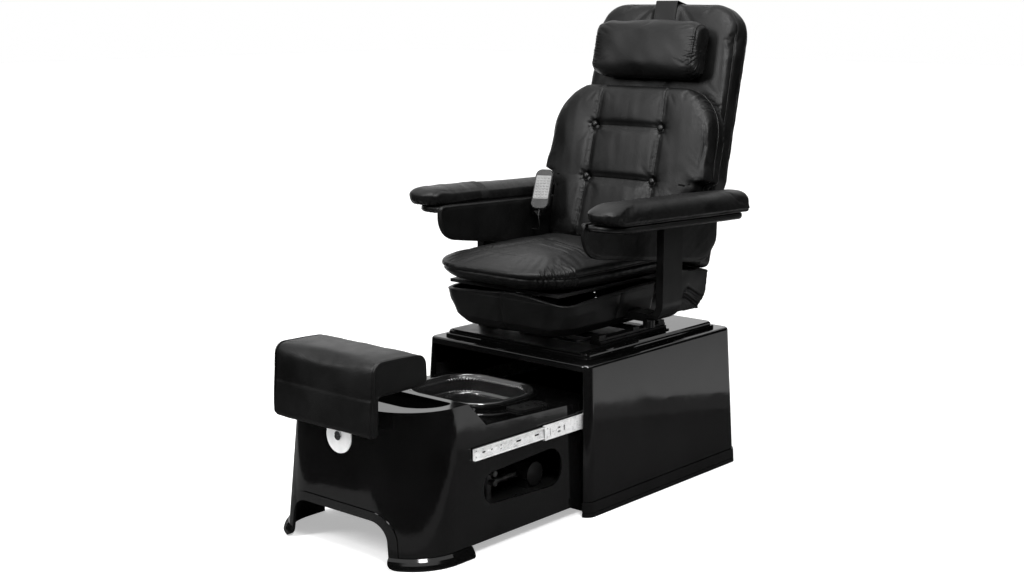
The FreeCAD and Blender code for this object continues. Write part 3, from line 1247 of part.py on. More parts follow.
def back_cushion():
    """The full-height cushion, with round upper corners and a pocket for the panel."""
    near, far = v.shell_front, v.shell_front + v.shell_thick

    def section(y, inset):
        low, wide, top = v.shell_bottom_half - inset, v.shell_middle_half - inset, v.shell_top_half - inset
        side = [(low, v.shell_bottom + inset), (low, v.shell_hip), (wide, v.shell_flank),
                (top, v.shell_top - inset)]
        radii = [20, 120, 120, v.shell_corner - inset]
        corners = side + [(-x, z) for x, z in reversed(side)]
        return rounded_outline(corners, radii + radii[::-1], upright_plane(y))

    soft = v.shell_round
    steps = [(near, soft * 0.9), (near + soft * 0.25, soft * 0.35), (near + soft, 0),
             (far - soft, 0), (far - soft * 0.25, soft * 0.35), (far, soft * 0.9)]
    cushion = loft([section(y, inset) for y, inset in steps])
    gap = 0.3
    pocket = block(-v.panel_half - gap, v.panel_half + gap, 0, v.pad_rear + v.panel_sheet,
                   0, v.panel_top + gap)
    slot = block(v.lug_inner - gap, v.lug_inner + v.lug_sheet + gap, 0,
                 v.pad_rear + v.panel_sheet + v.lug_heel + gap, 0, v.panel_bottom + v.lug_climb + gap)
    cushion = cushion.cut(pocket).cut(slot).cut(slot.mirror(Vector(), Vector(1, 0, 0)))
    return node(feature("back_cushion", stacked(cushion, [v.shell_hip]), back_placement()), "back_cushion")


def lumbar_outline(y, inset):
    """The lumbar pad's outline: stepped out twice past the armrests, widest above them, arched shoulders."""
    low, top = v.lumbar_bottom + inset, v.lumbar_top - inset
    panel, arm, wide = v.seam_low - v.lumbar_neck, v.seam_low + 8, v.seam_low + 20
    shoulder = v.seam_high - 36
    half_low, half_panel = v.lumbar_low_half - inset, v.lumbar_panel_half - inset
    half_arm, half_wide = v.lumbar_arm_half - inset, v.lumbar_wide_half - inset
    half_top = v.lumbar_top_half - inset * 0.4
    bulge_x = half_top + (half_wide - half_top) * 0.74
    bulge_z = shoulder + (top - shoulder) * 0.62
    place = upright_plane(y)
    side = [(half_low, low), (half_panel, low + (panel - low) * 0.5), (half_panel, panel),
            (half_arm, panel + 26), (half_arm, arm), (half_wide, wide), (half_wide - 3, shoulder)]
    edges = []
    for (x0, z0), (x1, z1) in zip(side, side[1:]):
        edges.append(Part.LineSegment(place(x0, z0), place(x1, z1)).toShape())
    edges.append(Part.Arc(place(*side[-1]), place(bulge_x, bulge_z), place(half_top, top)).toShape())
    edges.append(Part.LineSegment(place(half_top, top), place(-half_top, top)).toShape())
    edges.append(Part.Arc(place(-half_top, top), place(-bulge_x, bulge_z),
                          place(-side[-1][0], shoulder)).toShape())
    for (x0, z0), (x1, z1) in zip(side[::-1], side[::-1][1:]):
        edges.append(Part.LineSegment(place(-x0, z0), place(-x1, z1)).toShape())
    edges.append(Part.LineSegment(place(-half_low, low), place(half_low, low)).toShape())
    return Part.Wire(edges)


def stacked(foam, levels):
    """Foam in blocks that meet face to face at levels above the hinge, as it is glued up."""
    reach = 1000
    edges = [-reach] + levels + [reach]
    return Part.Compound([foam.common(block(-reach, reach, -reach, reach, low, high))
                          for low, high in zip(edges, edges[1:])])


def vibrator_spots():
    heights = (v.seam_low - 90, (v.seam_low + v.seam_high) / 2)
    return [(x, z) for x in (-v.vibrator_x, v.vibrator_x) for z in heights]


def tuft_spots():
    return [(x, z) for x in (-v.seam_x, v.seam_x) for z in (v.seam_low, v.seam_high)]


def lumbar_pad():
    """The thick front pad: crowned face, sewn channels, four tufts, pockets for the vibration motors."""
    front, rear = -v.back_front, v.pad_rear
    steps = [(front, 34), (front + 5, 17), (front + 16, 5), (front + 34, 0), (front + 62, 2),
             (front + 68, 4), (front + 76, 1), (rear - 8, 1), (rear, 8)]
    pad = loft([lumbar_outline(y, inset) for y, inset in steps])
    channel = v.seam_radius
    for x in (-v.seam_x, v.seam_x):
        pad = pad.cut(Part.makeCylinder(channel, v.lumbar_top - v.lumbar_bottom + 20,
                                        Vector(x, front, v.lumbar_bottom - 10), Vector(0, 0, 1)))
    for z in (v.seam_low, v.seam_high):
        pad = pad.cut(Part.makeCylinder(channel, 2 * v.seam_x, Vector(-v.seam_x, front, z), Vector(1, 0, 0)))
    for x, z in tuft_spots():
        pad = pad.cut(Part.makeCylinder(v.tuft_radius + 1, v.tuft_sink + 1, Vector(x, front - 1, z),
                                        Vector(0, 1, 0)))
    for x, z in vibrator_spots():
        pad = pad.cut(Part.makeCylinder(v.vibrator_radius + 0.3, v.vibrator_height + 0.3,
                                        Vector(x, rear - v.vibrator_height - 0.3, z), Vector(0, 1, 0)))
    pad = stacked(pad, [v.seam_low - v.lumbar_neck, v.seam_low])
    return node(feature("lumbar_pad", pad, back_placement()), "lumbar_pad")


def tuft_buttons():
    buttons = []
    for x, z in tuft_spots():
        stem = Part.makeCylinder(v.tuft_radius, v.tuft_sink * 0.55,
                                 Vector(x, v.tuft_sink - v.back_front, z), Vector(0, -1, 0))
        rim = [e for e in stem.Edges
               if len(e.Vertexes) == 1 and e.CenterOfMass.y < v.tuft_sink - v.back_front - 1]
        buttons.append(stem.makeFillet(v.tuft_sink * 0.5, rim))
    return node(feature("tuft_buttons", Part.Compound(buttons), back_placement()), "tuft_buttons")


def vibration_motors():
    motors = [Part.makeCylinder(v.vibrator_radius, v.vibrator_height,
                                Vector(x, v.pad_rear - v.vibrator_height, z), Vector(0, 1, 0))
              for x, z in vibrator_spots()]
    return node(feature("vibration_motors", Part.Compound(motors), back_placement()), "vibration_motors")


def pillow():
    """A bolster with swelling faces and drawn-in ends, lofted from end to end."""
    rear = v.shell_front - v.strap_sheet - v.snug
    centre_y, centre_z = rear - v.pillow_thick / 2, v.pillow_bottom + v.pillow_height / 2

    def section(x, share):
        half_y = v.pillow_thick / 2 * share
        half_z = v.pillow_height / 2 * (0.86 + 0.14 * share)
        corners = [(centre_y - half_y, centre_z - half_z), (centre_y + half_y, centre_z - half_z),
                   (centre_y + half_y, centre_z + half_z), (centre_y - half_y, centre_z + half_z)]
        radius = half_y * 0.92
        return rounded_outline(corners, [radius] * 4, lambda y, z: Vector(x, y, z))

    half = v.pillow_half
    steps = [(-half, 0.42), (-half + 5, 0.66), (-half + 16, 0.86), (-half + 40, 0.97), (-half + 90, 1)]
    steps += [(-x, share) for x, share in reversed(steps)]
    return node(feature("pillow", loft([section(x, share) for x, share in steps]), back_placement()),
                "pillow")


def pillow_strap():
    """A band from behind the pillow over the top of the back cushion and down its rear."""
    sheet = v.strap_sheet
    near, far, top = v.shell_front, v.shell_front + v.shell_thick, v.shell_top
    foot = v.pillow_bottom + v.pillow_height * 0.5
    tail = v.shell_top - v.strap_tail
    turn = 4

    def sheath(grow, below):
        corners = [(near - grow, foot - below), (far + grow, tail - below), (far + grow, top + grow),
                   (near - grow, top + grow)]
        return extruded(corners, [0, 0, turn + grow, turn + grow],
                        lambda y, z: Vector(-v.strap_width / 2, y, z), Vector(v.strap_width, 0, 0))

    cap = sheath(sheet, 0).cut(sheath(0, 20))
    return node(feature("pillow_strap", cap, back_placement()), "pillow_strap")


def rear_cover():
    """The upholstered cover behind and beside the hinge, hung from the back cushion's lower end."""
    wall = v.flap_wall
    low, top = -74, v.shell_bottom - v.snug
    near, far = -60, v.shell_front + v.shell_thick - 16

    outer = extruded([(near, low - 28), (far - 34, low), (far, low + 50), (far - 6, top), (near, top - 18)],
                     [10, 16, 30, 4, 10], lambda y, z: Vector(-v.flap_half, y, z),
                     Vector(2 * v.flap_half, 0, 0))
    inner = extruded([(near - 20, low - 60), (far - 34 - wall * 0.6, low - 60), (far - 34 - wall * 0.6, low),
                      (far - wall, low + 54), (far - wall - 6, top + 1), (near - 20, top + 1)],
                     [0, 0, 8, 24, 0, 0], lambda y, z: Vector(-v.flap_half + wall, y, z),
                     Vector(2 * (v.flap_half - wall), 0, 0))
    hem_half = v.flap_half - wall + 1
    hem = block(-hem_half, hem_half, v.shell_front + 30, far - wall - 4, top - 4, top)
    return node(feature("rear_cover", outer.cut(inner).fuse(hem), back_placement()), "rear_cover")


# Armrests, drawn level and then tilted about the floor of their board

def arm_placement():
    pivot = Vector(0, 0, v.arm_z)
    tilt = Rotation(Vector(1, 0, 0), -v.arm_tilt)
    return Placement(pivot.sub(tilt.multVec(pivot)), tilt)


def on_arm_side(shape, side):
    """A shape drawn on the sitter's left, or its mirror image."""
    return shape if side == "left" else shape.mirror(Vector(), Vector(1, 0, 0))


def arm_pad_shape(grow):
    """The armrest's crowned pad, whose front end rises from its board and thins to a rounded tip."""
    thick = v.arm_pad
    half = v.arm_width / 2
    low = v.arm_z + v.arm_board
    # Each level: share of the thickness, how far it lies inside the sides, and inside the front.
    steps = [(0, 6, 44), (0.07, 1, 32), (0.14, 0, 22), (0.3, 0, 7), (0.45, 0, 0), (0.58, 1, 3),
             (0.72, 5, 16), (0.86, 14, 40), (0.95, 28, 66), (1, 44, 100)]
    wires = []
    for share, inset, setback in steps:
        reach = half - inset + grow
        front, rear = -v.arm_front + setback - grow, v.arm_rear - inset + grow
        corners = [(v.arm_x - reach, front), (v.arm_x + reach, front),
                   (v.arm_x + reach, rear), (v.arm_x - reach, rear)]
        corner = max(v.arm_corner - inset, 14)
        z = low + thick * share + (grow if share == 1 else 0)
        wires.append(rounded_outline(corners, [corner] * 4, level(z)))
    return loft(wires)


def arm_pads():
    pad = arm_pad_shape(0)
    for side in ("left", "right"):
        node(feature("arm_pad_" + side, on_arm_side(pad, side), arm_placement()), "arm_pad_" + side)


def arm_sleeve():
    """A cover drawn over the front of the armrest on the sitter's right."""
    end = -v.arm_front + v.sleeve_length
    reach = block(0, 2 * v.arm_x, -2 * v.arm_front, end, v.arm_z + v.arm_board + v.arm_pad * 0.16, 2 * v.arm_z)
    sleeve = arm_pad_shape(v.sleeve_sheet).common(reach).cut(arm_pad_shape(0))
    return node(feature("arm_sleeve", on_arm_side(sleeve, "right"), arm_placement()), "arm_sleeve")


def arm_boards():
    """The upholstered board under each pad, against its side panel, with swept outer corners."""
    inner, outer = v.side_inner + v.side_thick, v.arm_x + v.arm_width / 2 - v.arm_board_inset
    front, rear = -v.arm_front + v.arm_board_setback, v.arm_rear - v.arm_board_setback
    soft = 4

    def section(z, inset):
        corners = [(inner, front + inset), (outer - inset, front + inset), (outer - inset, rear - inset),
                   (inner, rear - inset)]
        return rounded_outline(corners, [8, v.arm_corner * 1.5, v.arm_corner, 8], level(z))

    high = v.arm_z + v.arm_board
    board = loft([section(v.arm_z, soft), section(v.arm_z + soft, 0), section(high - soft, 0),
                  section(high, soft)])
    for side in ("left", "right"):
        node(feature("arm_board_" + side, on_arm_side(board, side), arm_placement()), "arm_board_" + side)


def arm_side_panels():
    """The upholstered panel that hangs from each armrest's inner side."""
    top, under = v.arm_z + v.side_rise, v.arm_z
    outline = [(-v.side_front, top), (-v.side_front, under - v.side_drop_front),
               (v.side_rear - 60, under - v.side_drop_rear), (v.side_rear, under - v.side_drop_rear + 62),
               (v.side_rear, top)]
    panel = extruded(outline, [12, 78, 60, 30, 12], lambda y, z: Vector(v.side_inner, y, z),
                     Vector(v.side_thick, 0, 0))
    inner_edges = [e for e in panel.Edges
                   if all(abs(p.Point.x - v.side_inner) < 1e-6 for p in e.Vertexes)]
    panel = panel.makeFillet(6, inner_edges)
    for side in ("left", "right"):
        node(feature("arm_panel_" + side, on_arm_side(panel, side), arm_placement()), "arm_panel_" + side)


def arm_posts():
    """A flat post under each armrest that turns in under the seat and slides in the seat frame's socket."""
    front, rear = v.leg_rear - v.leg_depth, v.leg_rear
    rise = math.tan(math.radians(v.arm_tilt))
    near, low, high = v.socket_outer + 1, v.foot_z, v.foot_z + v.foot_height + 5
    top = v.arm_z - front * rise
    across = [(v.leg_outer, top), (v.leg_outer, low), (near, low), (near, high), (v.leg_inner, high),
              (v.leg_inner, top)]
    bar = extruded(across, [0, v.leg_bend, 5, 5, v.leg_bend - v.leg_thick, 0],
                   lambda x, z: Vector(x, front, z), Vector(0, v.leg_depth, 0))
    along = [(front, low - 1), (rear, low - 1), (rear, v.arm_z - rear * rise), (front, top)]
    outline = extruded(along, [v.leg_round, v.leg_round, 0, 0], lambda y, z: Vector(near - 1, y, z),
                       Vector(v.leg_outer, 0, 0))
    foot = block(v.foot_inner, near + 10, v.leg_centre - v.foot_depth / 2, v.leg_centre + v.foot_depth / 2,
                 low, low + v.foot_height)
    post = bar.common(outline).fuse(foot)
    for side in ("left", "right"):
        node(feature("arm_post_" + side, on_arm_side(post, side)), "arm_post_" + side)


def fluted_outline(x, y, z):
    """A level wire of shallow round lobes."""
    flutes = 10
    step = 2 * math.pi / flutes
    low = v.knob_radius - v.knob_flute * 0.6

    def spot(radius, angle):
        return Vector(x + radius * math.cos(angle), y + radius * math.sin(angle), z)

    edges = []
    for i in range(flutes):
        at = i * step
        edges.append(Part.Arc(spot(v.knob_radius - 1, at - 0.28 * step), spot(v.knob_radius, at),
                              spot(v.knob_radius - 1, at + 0.28 * step)).toShape())
        edges.append(Part.Arc(spot(v.knob_radius - 1, at + 0.28 * step), spot(low, at + 0.5 * step),
                              spot(v.knob_radius - 1, at + 0.72 * step)).toShape())
    return Part.Wire(edges)


def arm_knobs():
    """A fluted knob under each socket, whose stem clamps the foot bar."""
    top = v.socket_z - v.socket_wall - v.snug
    for side, turn in (("left", 1), ("right", -1)):
        x, y = turn * v.knob_x, v.leg_centre
        grip = Part.Face(fluted_outline(x, y, top - v.knob_height)).extrude(Vector(0, 0, v.knob_height))
        stem = Part.makeCylinder(v.knob_stem, v.socket_wall + v.snug - 0.2 + 1, Vector(x, y, top - 1))
        node(feature("arm_knob_" + side, grip.fuse(stem)), "arm_knob_" + side)


# Handset on the sitter's right armrest

def handset_placement():
    turn = Rotation(Vector(0, 0, 1), v.handset_turn)
    lean = Rotation(Vector(1, 0, 0), -v.handset_lean)
    return Placement(Vector(-v.handset_x, -v.handset_forward, v.handset_z), turn * lean)


def handset_body():
    """A flat case with round ends; its face looks along the local -Y."""
    half_x, half_z = v.handset_width / 2, v.handset_length / 2
    round_end = half_x * 0.72
    corners = [(-half_x, -half_z), (half_x, -half_z), (half_x, half_z), (-half_x, half_z)]

    def section(y, inset):
        return rounded_outline([(x - math.copysign(inset, x), z - math.copysign(inset, z)) for x, z in corners],
                               [round_end - inset] * 4, upright_plane(y))

    thick = v.handset_thick
    steps = [(-thick / 2, 3), (-thick / 2 + 3, 0), (thick / 2 - 5, 0), (thick / 2, 6)]
    return loft([section(y, inset) for y, inset in steps])


def handset():
    node(feature("handset_case", handset_body(), handset_placement()), "handset")
    face = -v.handset_thick / 2
    half_x, half_z = v.handset_width / 2 - 5, v.handset_length / 2
    keypad = block(-half_x, half_x, face - v.keypad_sheet, face, -half_z * 0.51, half_z * 0.66)
    node(feature("handset_keys", keypad, handset_placement()), "handset_keypad")


def handset_clip():
    """A block on the side panel's inner face, shaped to the handset's back."""
    x0, x1 = -v.side_inner, -v.handset_x + 2
    y0, y1 = -v.handset_forward - 16, -v.handset_forward + 8
    z0, z1 = v.arm_z - 34, v.arm_z + v.arm_board * 0.8
    clip = block(x0, x1, y0, y1, z0, z1)
    clear = handset_body()
    clear.Placement = handset_placement()
    widened = []
    for shift in (Vector(0, 0, 0), Vector(0.25, -0.3, -40), Vector(0.2, -30, -20), Vector(30, -12, -20),
                  Vector(12, -30, -60)):
        moved = clear.copy()
        moved.translate(shift)
        widened.append(moved)
    for tool in widened:
        clip = clip.cut(tool)
    return node(feature("handset_clip", max(clip.Solids, key=lambda s: s.Volume)), "handset_clip")


def cord_route():
    """The handset cord: out of the handset's lower end, down, and into the side panel."""
    placement = handset_placement()
    start = placement.multVec(Vector(0, 0, -v.handset_length / 2))
    out = placement.multVec(Vector(0, 0, -v.handset_length / 2 - 22))
    return [start,
            out,
            out.add(Vector(1, 5, -22)),
            out.add(Vector(-8, 18, -42)),
            Vector(-v.side_inner + 14, out.y + 30, out.z - 48),
            Vector(-v.side_inner, out.y + 30, out.z - 48)]


def handset_cord():
    """A round cord along straight runs joined by tangent arcs."""
    points = cord_route()
    cord = bent_rod(points, 1000, v.cord_radius)
    return node(feature("handset_cord_tube", cord), "handset_cord")


pedestal_shell()
pedestal_boards()
top_plate()
cable_gland()
power_supply()
drawer_slides()
bath_shell()
equipment_tray()
basin()
control_pod()
control_buttons()
lock()
footrest_carrier()
footrest_pad()
bath_equipment()
mount_plate()
seat_rails()
seat_runners()
release_bar()
seat_frame()
recline_brackets()
recline_actuator()
seat_skirt()
seat_board()
seat_cushion()
back_frame()
back_cushion()
lumbar_pad()
tuft_buttons()
vibration_motors()
pillow()
pillow_strap()
rear_cover()
arm_pads()
arm_sleeve()
arm_boards()
arm_side_panels()
arm_posts()
arm_knobs()
handset()
handset_clip()
handset_cord()
doc.recompute()

# Every object has to be sound before anything is written.
for piece in doc.Objects:
    if "Invalid" in piece.State or "Error" in piece.State:
        raise RuntimeError("%s is in state %s" % (piece.Name, piece.State))
os.makedirs("parts", exist_ok=True)
for piece in nodes:
    shape = piece.Shape
    if shape.isNull() or not shape.isValid() or not shape.Solids:
        raise RuntimeError("%s has no sound solid" % piece.Label)
    shape.exportStep("parts/%s.step" % piece.Label)
print("%d nodes written" % len(nodes))
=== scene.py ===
import json
import math

import bmesh
import bpy
import numpy as np
from mathutils import Euler, Matrix, Vector
from mathutils.bvhtree import BVHTree

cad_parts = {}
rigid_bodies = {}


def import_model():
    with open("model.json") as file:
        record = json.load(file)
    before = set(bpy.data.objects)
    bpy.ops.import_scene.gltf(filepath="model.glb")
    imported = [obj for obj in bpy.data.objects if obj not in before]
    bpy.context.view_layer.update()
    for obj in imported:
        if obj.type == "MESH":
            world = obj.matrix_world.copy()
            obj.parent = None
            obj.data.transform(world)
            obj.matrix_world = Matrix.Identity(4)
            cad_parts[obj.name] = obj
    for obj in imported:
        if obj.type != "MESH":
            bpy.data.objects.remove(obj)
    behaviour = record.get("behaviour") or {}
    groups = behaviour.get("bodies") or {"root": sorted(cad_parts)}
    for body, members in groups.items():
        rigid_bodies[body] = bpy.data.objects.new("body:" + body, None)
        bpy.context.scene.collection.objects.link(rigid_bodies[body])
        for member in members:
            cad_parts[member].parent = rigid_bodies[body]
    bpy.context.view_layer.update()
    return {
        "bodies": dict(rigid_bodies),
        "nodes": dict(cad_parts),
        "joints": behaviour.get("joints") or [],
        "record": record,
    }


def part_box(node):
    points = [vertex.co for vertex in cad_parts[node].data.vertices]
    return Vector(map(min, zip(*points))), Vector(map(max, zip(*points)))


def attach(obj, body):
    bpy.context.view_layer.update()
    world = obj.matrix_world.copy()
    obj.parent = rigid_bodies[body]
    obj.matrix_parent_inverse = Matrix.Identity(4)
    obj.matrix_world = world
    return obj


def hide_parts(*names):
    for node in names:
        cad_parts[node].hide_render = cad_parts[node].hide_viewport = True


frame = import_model()
nodes = frame["nodes"]
MM = 0.001

# Camera at the photograph's place
CAMERA_AZIMUTH = math.radians(41.1)
CAMERA_ELEVATION = math.radians(10.5)
CAMERA_PLACE = Vector((2.958, -3.724, 1.461))
CAMERA_LENS = 54.39


def make_camera():
    data = bpy.data.cameras.new("camera")
    data.lens = CAMERA_LENS
    data.sensor_width = 36.0
    camera = bpy.data.objects.new("camera", data)
    bpy.context.scene.collection.objects.link(camera)
    camera.location = CAMERA_PLACE
    camera.rotation_euler = Euler((math.pi / 2 - CAMERA_ELEVATION, 0, CAMERA_AZIMUTH))
    bpy.context.scene.camera = camera


make_camera()


# Cord

CORD_RADIUS = 0.002
CORD_ROUTE = [(-0.22330, 0.05637, 0.79879), (-0.21874, 0.04564, 0.78013), (-0.21774, 0.05064, 0.75813),
              (-0.22674, 0.06364, 0.73813), (-0.25500, 0.07564, 0.73213), (-0.26900, 0.07564, 0.73213)]


def handset_cord():
    """The round cord from the handset to the side panel, as a smooth line along its route."""
    data = bpy.data.curves.new("handset_cord", "CURVE")
    data.dimensions = "3D"
    spline = data.splines.new("NURBS")
    spline.points.add(len(CORD_ROUTE) - 1)
    for place, point in zip(spline.points, CORD_ROUTE):
        place.co = (*point, 1)
    spline.order_u = 3
    spline.use_endpoint_u = True
    data.bevel_depth = CORD_RADIUS
    data.bevel_resolution = 4
    data.use_fill_caps = True
    piece = bpy.data.objects.new("handset_cord_line", data)
    bpy.context.scene.collection.objects.link(piece)
    return piece


cord = handset_cord()

# Materials


class Shader:
    """A material's node tree, written as nested calls."""

    def __init__(self, name, **sockets):
        self.material = bpy.data.materials.new(name)
        self.material.use_nodes = True
        self.tree = self.material.node_tree
        self.surface = self.tree.nodes["Principled BSDF"]
        self.coords = self.tree.nodes.new("ShaderNodeTexCoord").outputs["Object"]
        for socket, value in sockets.items():
            self.surface.inputs[socket.replace("_", " ")].default_value = value

    def node(self, kind, inputs, **settings):
        made = self.tree.nodes.new(kind)
        for key, value in settings.items():
            setattr(made, key, value)
        for key, value in inputs.items():
            if isinstance(value, bpy.types.NodeSocket):
                self.tree.links.new(value, made.inputs[key])
            else:
                made.inputs[key].default_value = value
        return made

    def stretched(self, x=1.0, y=1.0, z=1.0):
        return self.node("ShaderNodeMapping", {"Vector": self.coords, "Scale": (x, y, z)}).outputs[0]

    def noise(self, scale, detail=2.0, roughness=0.5, coords=None):
        return self.node("ShaderNodeTexNoise", {
            "Vector": coords or self.coords, "Scale": scale, "Detail": detail,
            "Roughness": roughness}).outputs["Fac"]

    def cells(self, scale, coords, feature="F1"):
        return self.node("ShaderNodeTexVoronoi", {"Vector": coords, "Scale": scale},
                         feature=feature).outputs["Distance"]

    def scaled(self, value, low, high, from_low=0.0, from_high=1.0):
        return self.node("ShaderNodeMapRange", {
            "Value": value, "From Min": from_low, "From Max": from_high,
            "To Min": low, "To Max": high}).outputs["Result"]

    def math(self, operation, a, b=0.0):
        return self.node("ShaderNodeMath", {0: a, 1: b}, operation=operation).outputs[0]

    def mixed(self, share, first, second):
        return self.node("ShaderNodeMix", {"Factor": share, "A": first, "B": second},
                         data_type="RGBA").outputs["Result"]

    def tones(self, value, low, high, first, second):
        """The first grey up to one level of a value, the second from another level on, blended between."""
        return self.mixed(self.scaled(value, 0, 1, low, high), grey(first), grey(second))

    def raised(self, height, distance, strength=1.0, under=None):
        inputs = {"Height": height, "Distance": distance, "Strength": strength}
        if under is not None:
            inputs["Normal"] = under
        return self.node("ShaderNodeBump", inputs).outputs["Normal"]

    def finish(self, **sockets):
        for socket, value in sockets.items():
            self.tree.links.new(value, self.surface.inputs[socket.replace("_", " ")])
        return self.material


def grey(value):
    return (value, value, value, 1.0)


def gelcoat():
    """Polished black resin: long soft waves, fine orange peel, faint wiping marks."""
    s = Shader("black_gelcoat", IOR=1.5, Specular_IOR_Level=0.5)
    haze = s.noise(5, 4, 0.6)
    wiped = s.noise(14, 3, 0.55, s.stretched(1, 1, 3))
    rough = s.math("ADD", s.scaled(haze, 0.03, 0.10, 0.3, 0.75), s.scaled(wiped, 0.0, 0.05, 0.45, 0.8))
    waves = s.raised(s.noise(5.0, 2.5, 0.5), 0.003, 0.4)
    peel = s.raised(s.noise(240, 1, 0.4), 0.0001, 0.2, waves)
    return s.finish(Base_Color=s.tones(haze, 0.3, 0.7, 0.0012, 0.0032), Roughness=rough, Normal=peel)


def leatherette(name, pores=520, dark=0.0014, light=0.0034, rough=(0.32, 0.46), bump=0.00028):
    """Black coated cloth: pebbled grain, pores, faint rubbed patches."""
    s = Shader(name, IOR=1.5, Specular_IOR_Level=0.30)
    shift = s.node("ShaderNodeTexNoise", {"Vector": s.coords, "Scale": 130.0, "Detail": 1.0})
    drift = s.node("ShaderNodeVectorMath", {0: shift.outputs["Color"], "Scale": 0.0016}, operation="SCALE")
    warped = s.node("ShaderNodeVectorMath", {0: s.coords, 1: drift.outputs[0]}, operation="ADD").outputs[0]
    cells = s.cells(pores, warped)
    creases = s.cells(pores * 0.42, warped, "DISTANCE_TO_EDGE")
    pebbles = s.math("ADD", s.scaled(cells, 1.0, 0.0, 0.05, 0.75), s.scaled(creases, 0.0, 0.7, 0.0, 0.16))
    patches = s.noise(7, 4, 0.6)
    broad = s.raised(s.noise(22, 3, 0.5), 0.0012, 0.22)
    grain = s.raised(pebbles, bump, 0.55, broad)
    sheen = s.scaled(patches, rough[0], rough[1], 0.32, 0.68)
    pits = s.scaled(cells, 0.0, 0.10, 0.3, 0.8)
    return s.finish(Base_Color=s.tones(patches, 0.3, 0.7, dark, light), Roughness=s.math("ADD", sheen, pits),
                    Normal=grain)


def zinc():
    """Bright plated steel strip: fine drawing lines along the slide, cloudy tone."""
    s = Shader("bright_zinc", Metallic=0.35)
    lines = s.noise(90, 3, 0.6, s.stretched(14, 1, 14))
    cloud = s.noise(28, 3, 0.6)
    return s.finish(Base_Color=s.tones(cloud, 0.35, 0.65, 0.72, 0.9),
                    Roughness=s.math("ADD", s.scaled(lines, 0.16, 0.34), s.scaled(cloud, 0.0, 0.08)),
                    Normal=s.raised(lines, 0.0001, 0.3))


def chrome():
    """Polished plate with a faint turned finish and finger marks."""
    s = Shader("chrome", Metallic=1.0)
    marks = s.noise(45, 4, 0.65)
    return s.finish(Base_Color=s.tones(marks, 0.4, 0.7, 0.86, 0.78),
                    Roughness=s.scaled(marks, 0.08, 0.26, 0.35, 0.7),
                    Normal=s.raised(s.noise(160, 2, 0.5), 0.0001, 0.25))


def powder_coat():
    """Black powder coat on steel: fine even texture with worn, shinier spots."""
    s = Shader("black_steel", IOR=1.5, Specular_IOR_Level=0.25)
    fine = s.noise(900, 2, 0.5)
    worn = s.noise(12, 4, 0.6)
    return s.finish(Base_Color=s.tones(worn, 0.4, 0.7, 0.0018, 0.0045),
                    Roughness=s.scaled(worn, 0.42, 0.28, 0.35, 0.7),
                    Normal=s.raised(fine, 0.0002, 0.35))


def moulded(name, tone, rough, texture=700, index=1.47, shine=0.5):
    """Moulded plastic with a spark-eroded texture."""
    s = Shader(name, IOR=index, Specular_IOR_Level=shine)
    fine = s.noise(texture, 2, 0.5)
    cloud = s.noise(18, 3, 0.6)
    return s.finish(Base_Color=s.tones(cloud, 0.3, 0.7, tone * 0.8, tone * 1.2),
                    Roughness=s.scaled(cloud, rough - 0.06, rough + 0.06, 0.3, 0.7),
                    Normal=s.raised(fine, 0.00015, 0.3))


def black_board():
    """Laminated chipboard: dull film with a slight grain, paler at random along it."""
    s = Shader("black_board", IOR=1.5, Specular_IOR_Level=0.4)
    grain = s.noise(30, 4, 0.6, s.stretched(1, 7, 1))
    return s.finish(Base_Color=s.tones(grain, 0.35, 0.7, 0.002, 0.006),
                    Roughness=s.scaled(grain, 0.42, 0.58, 0.3, 0.7),
                    Normal=s.raised(s.noise(500, 3, 0.6, s.stretched(1, 0.3, 1)), 0.0002, 0.3))


def satin_plate():
    """Satin bright plate: fine turned lines, soft cloudy patches."""
    s = Shader("satin_plate", Metallic=0.35)
    cloud = s.noise(30, 3, 0.6)
    lines = s.noise(220, 2, 0.5)
    return s.finish(Base_Color=s.tones(cloud, 0.35, 0.65, 0.86, 0.96),
                    Roughness=s.math("ADD", s.scaled(cloud, 0.40, 0.50), s.scaled(lines, 0.0, 0.06)),
                    Normal=s.raised(lines, 0.0001, 0.3))


def shaded_dull_zinc():
    """Plated fittings inside the shell: dull and dusty, and darkened as painted shade for where they sit in
    shadow.
    """
    s = Shader("shaded_dull_zinc", Metallic=1.0)
    dust = s.noise(40, 4, 0.6)
    return s.finish(Base_Color=s.tones(dust, 0.35, 0.65, 0.16, 0.34),
                    Roughness=s.scaled(dust, 0.30, 0.55, 0.3, 0.7), Normal=s.raised(dust, 0.0002, 0.3))


def webbing():
    """Woven black band: close cross ribs."""
    s = Shader("strap_webbing", IOR=1.5, Specular_IOR_Level=0.25)
    ribs = s.node("ShaderNodeTexWave", {"Vector": s.coords, "Scale": 300.0, "Distortion": 0.6, "Detail": 2.0},
                  bands_direction="Y").outputs["Fac"]
    return s.finish(Base_Color=s.mixed(ribs, grey(0.002), grey(0.009)), Roughness=s.scaled(ribs, 0.7, 0.5),
                    Normal=s.raised(ribs, 0.0006, 0.6))


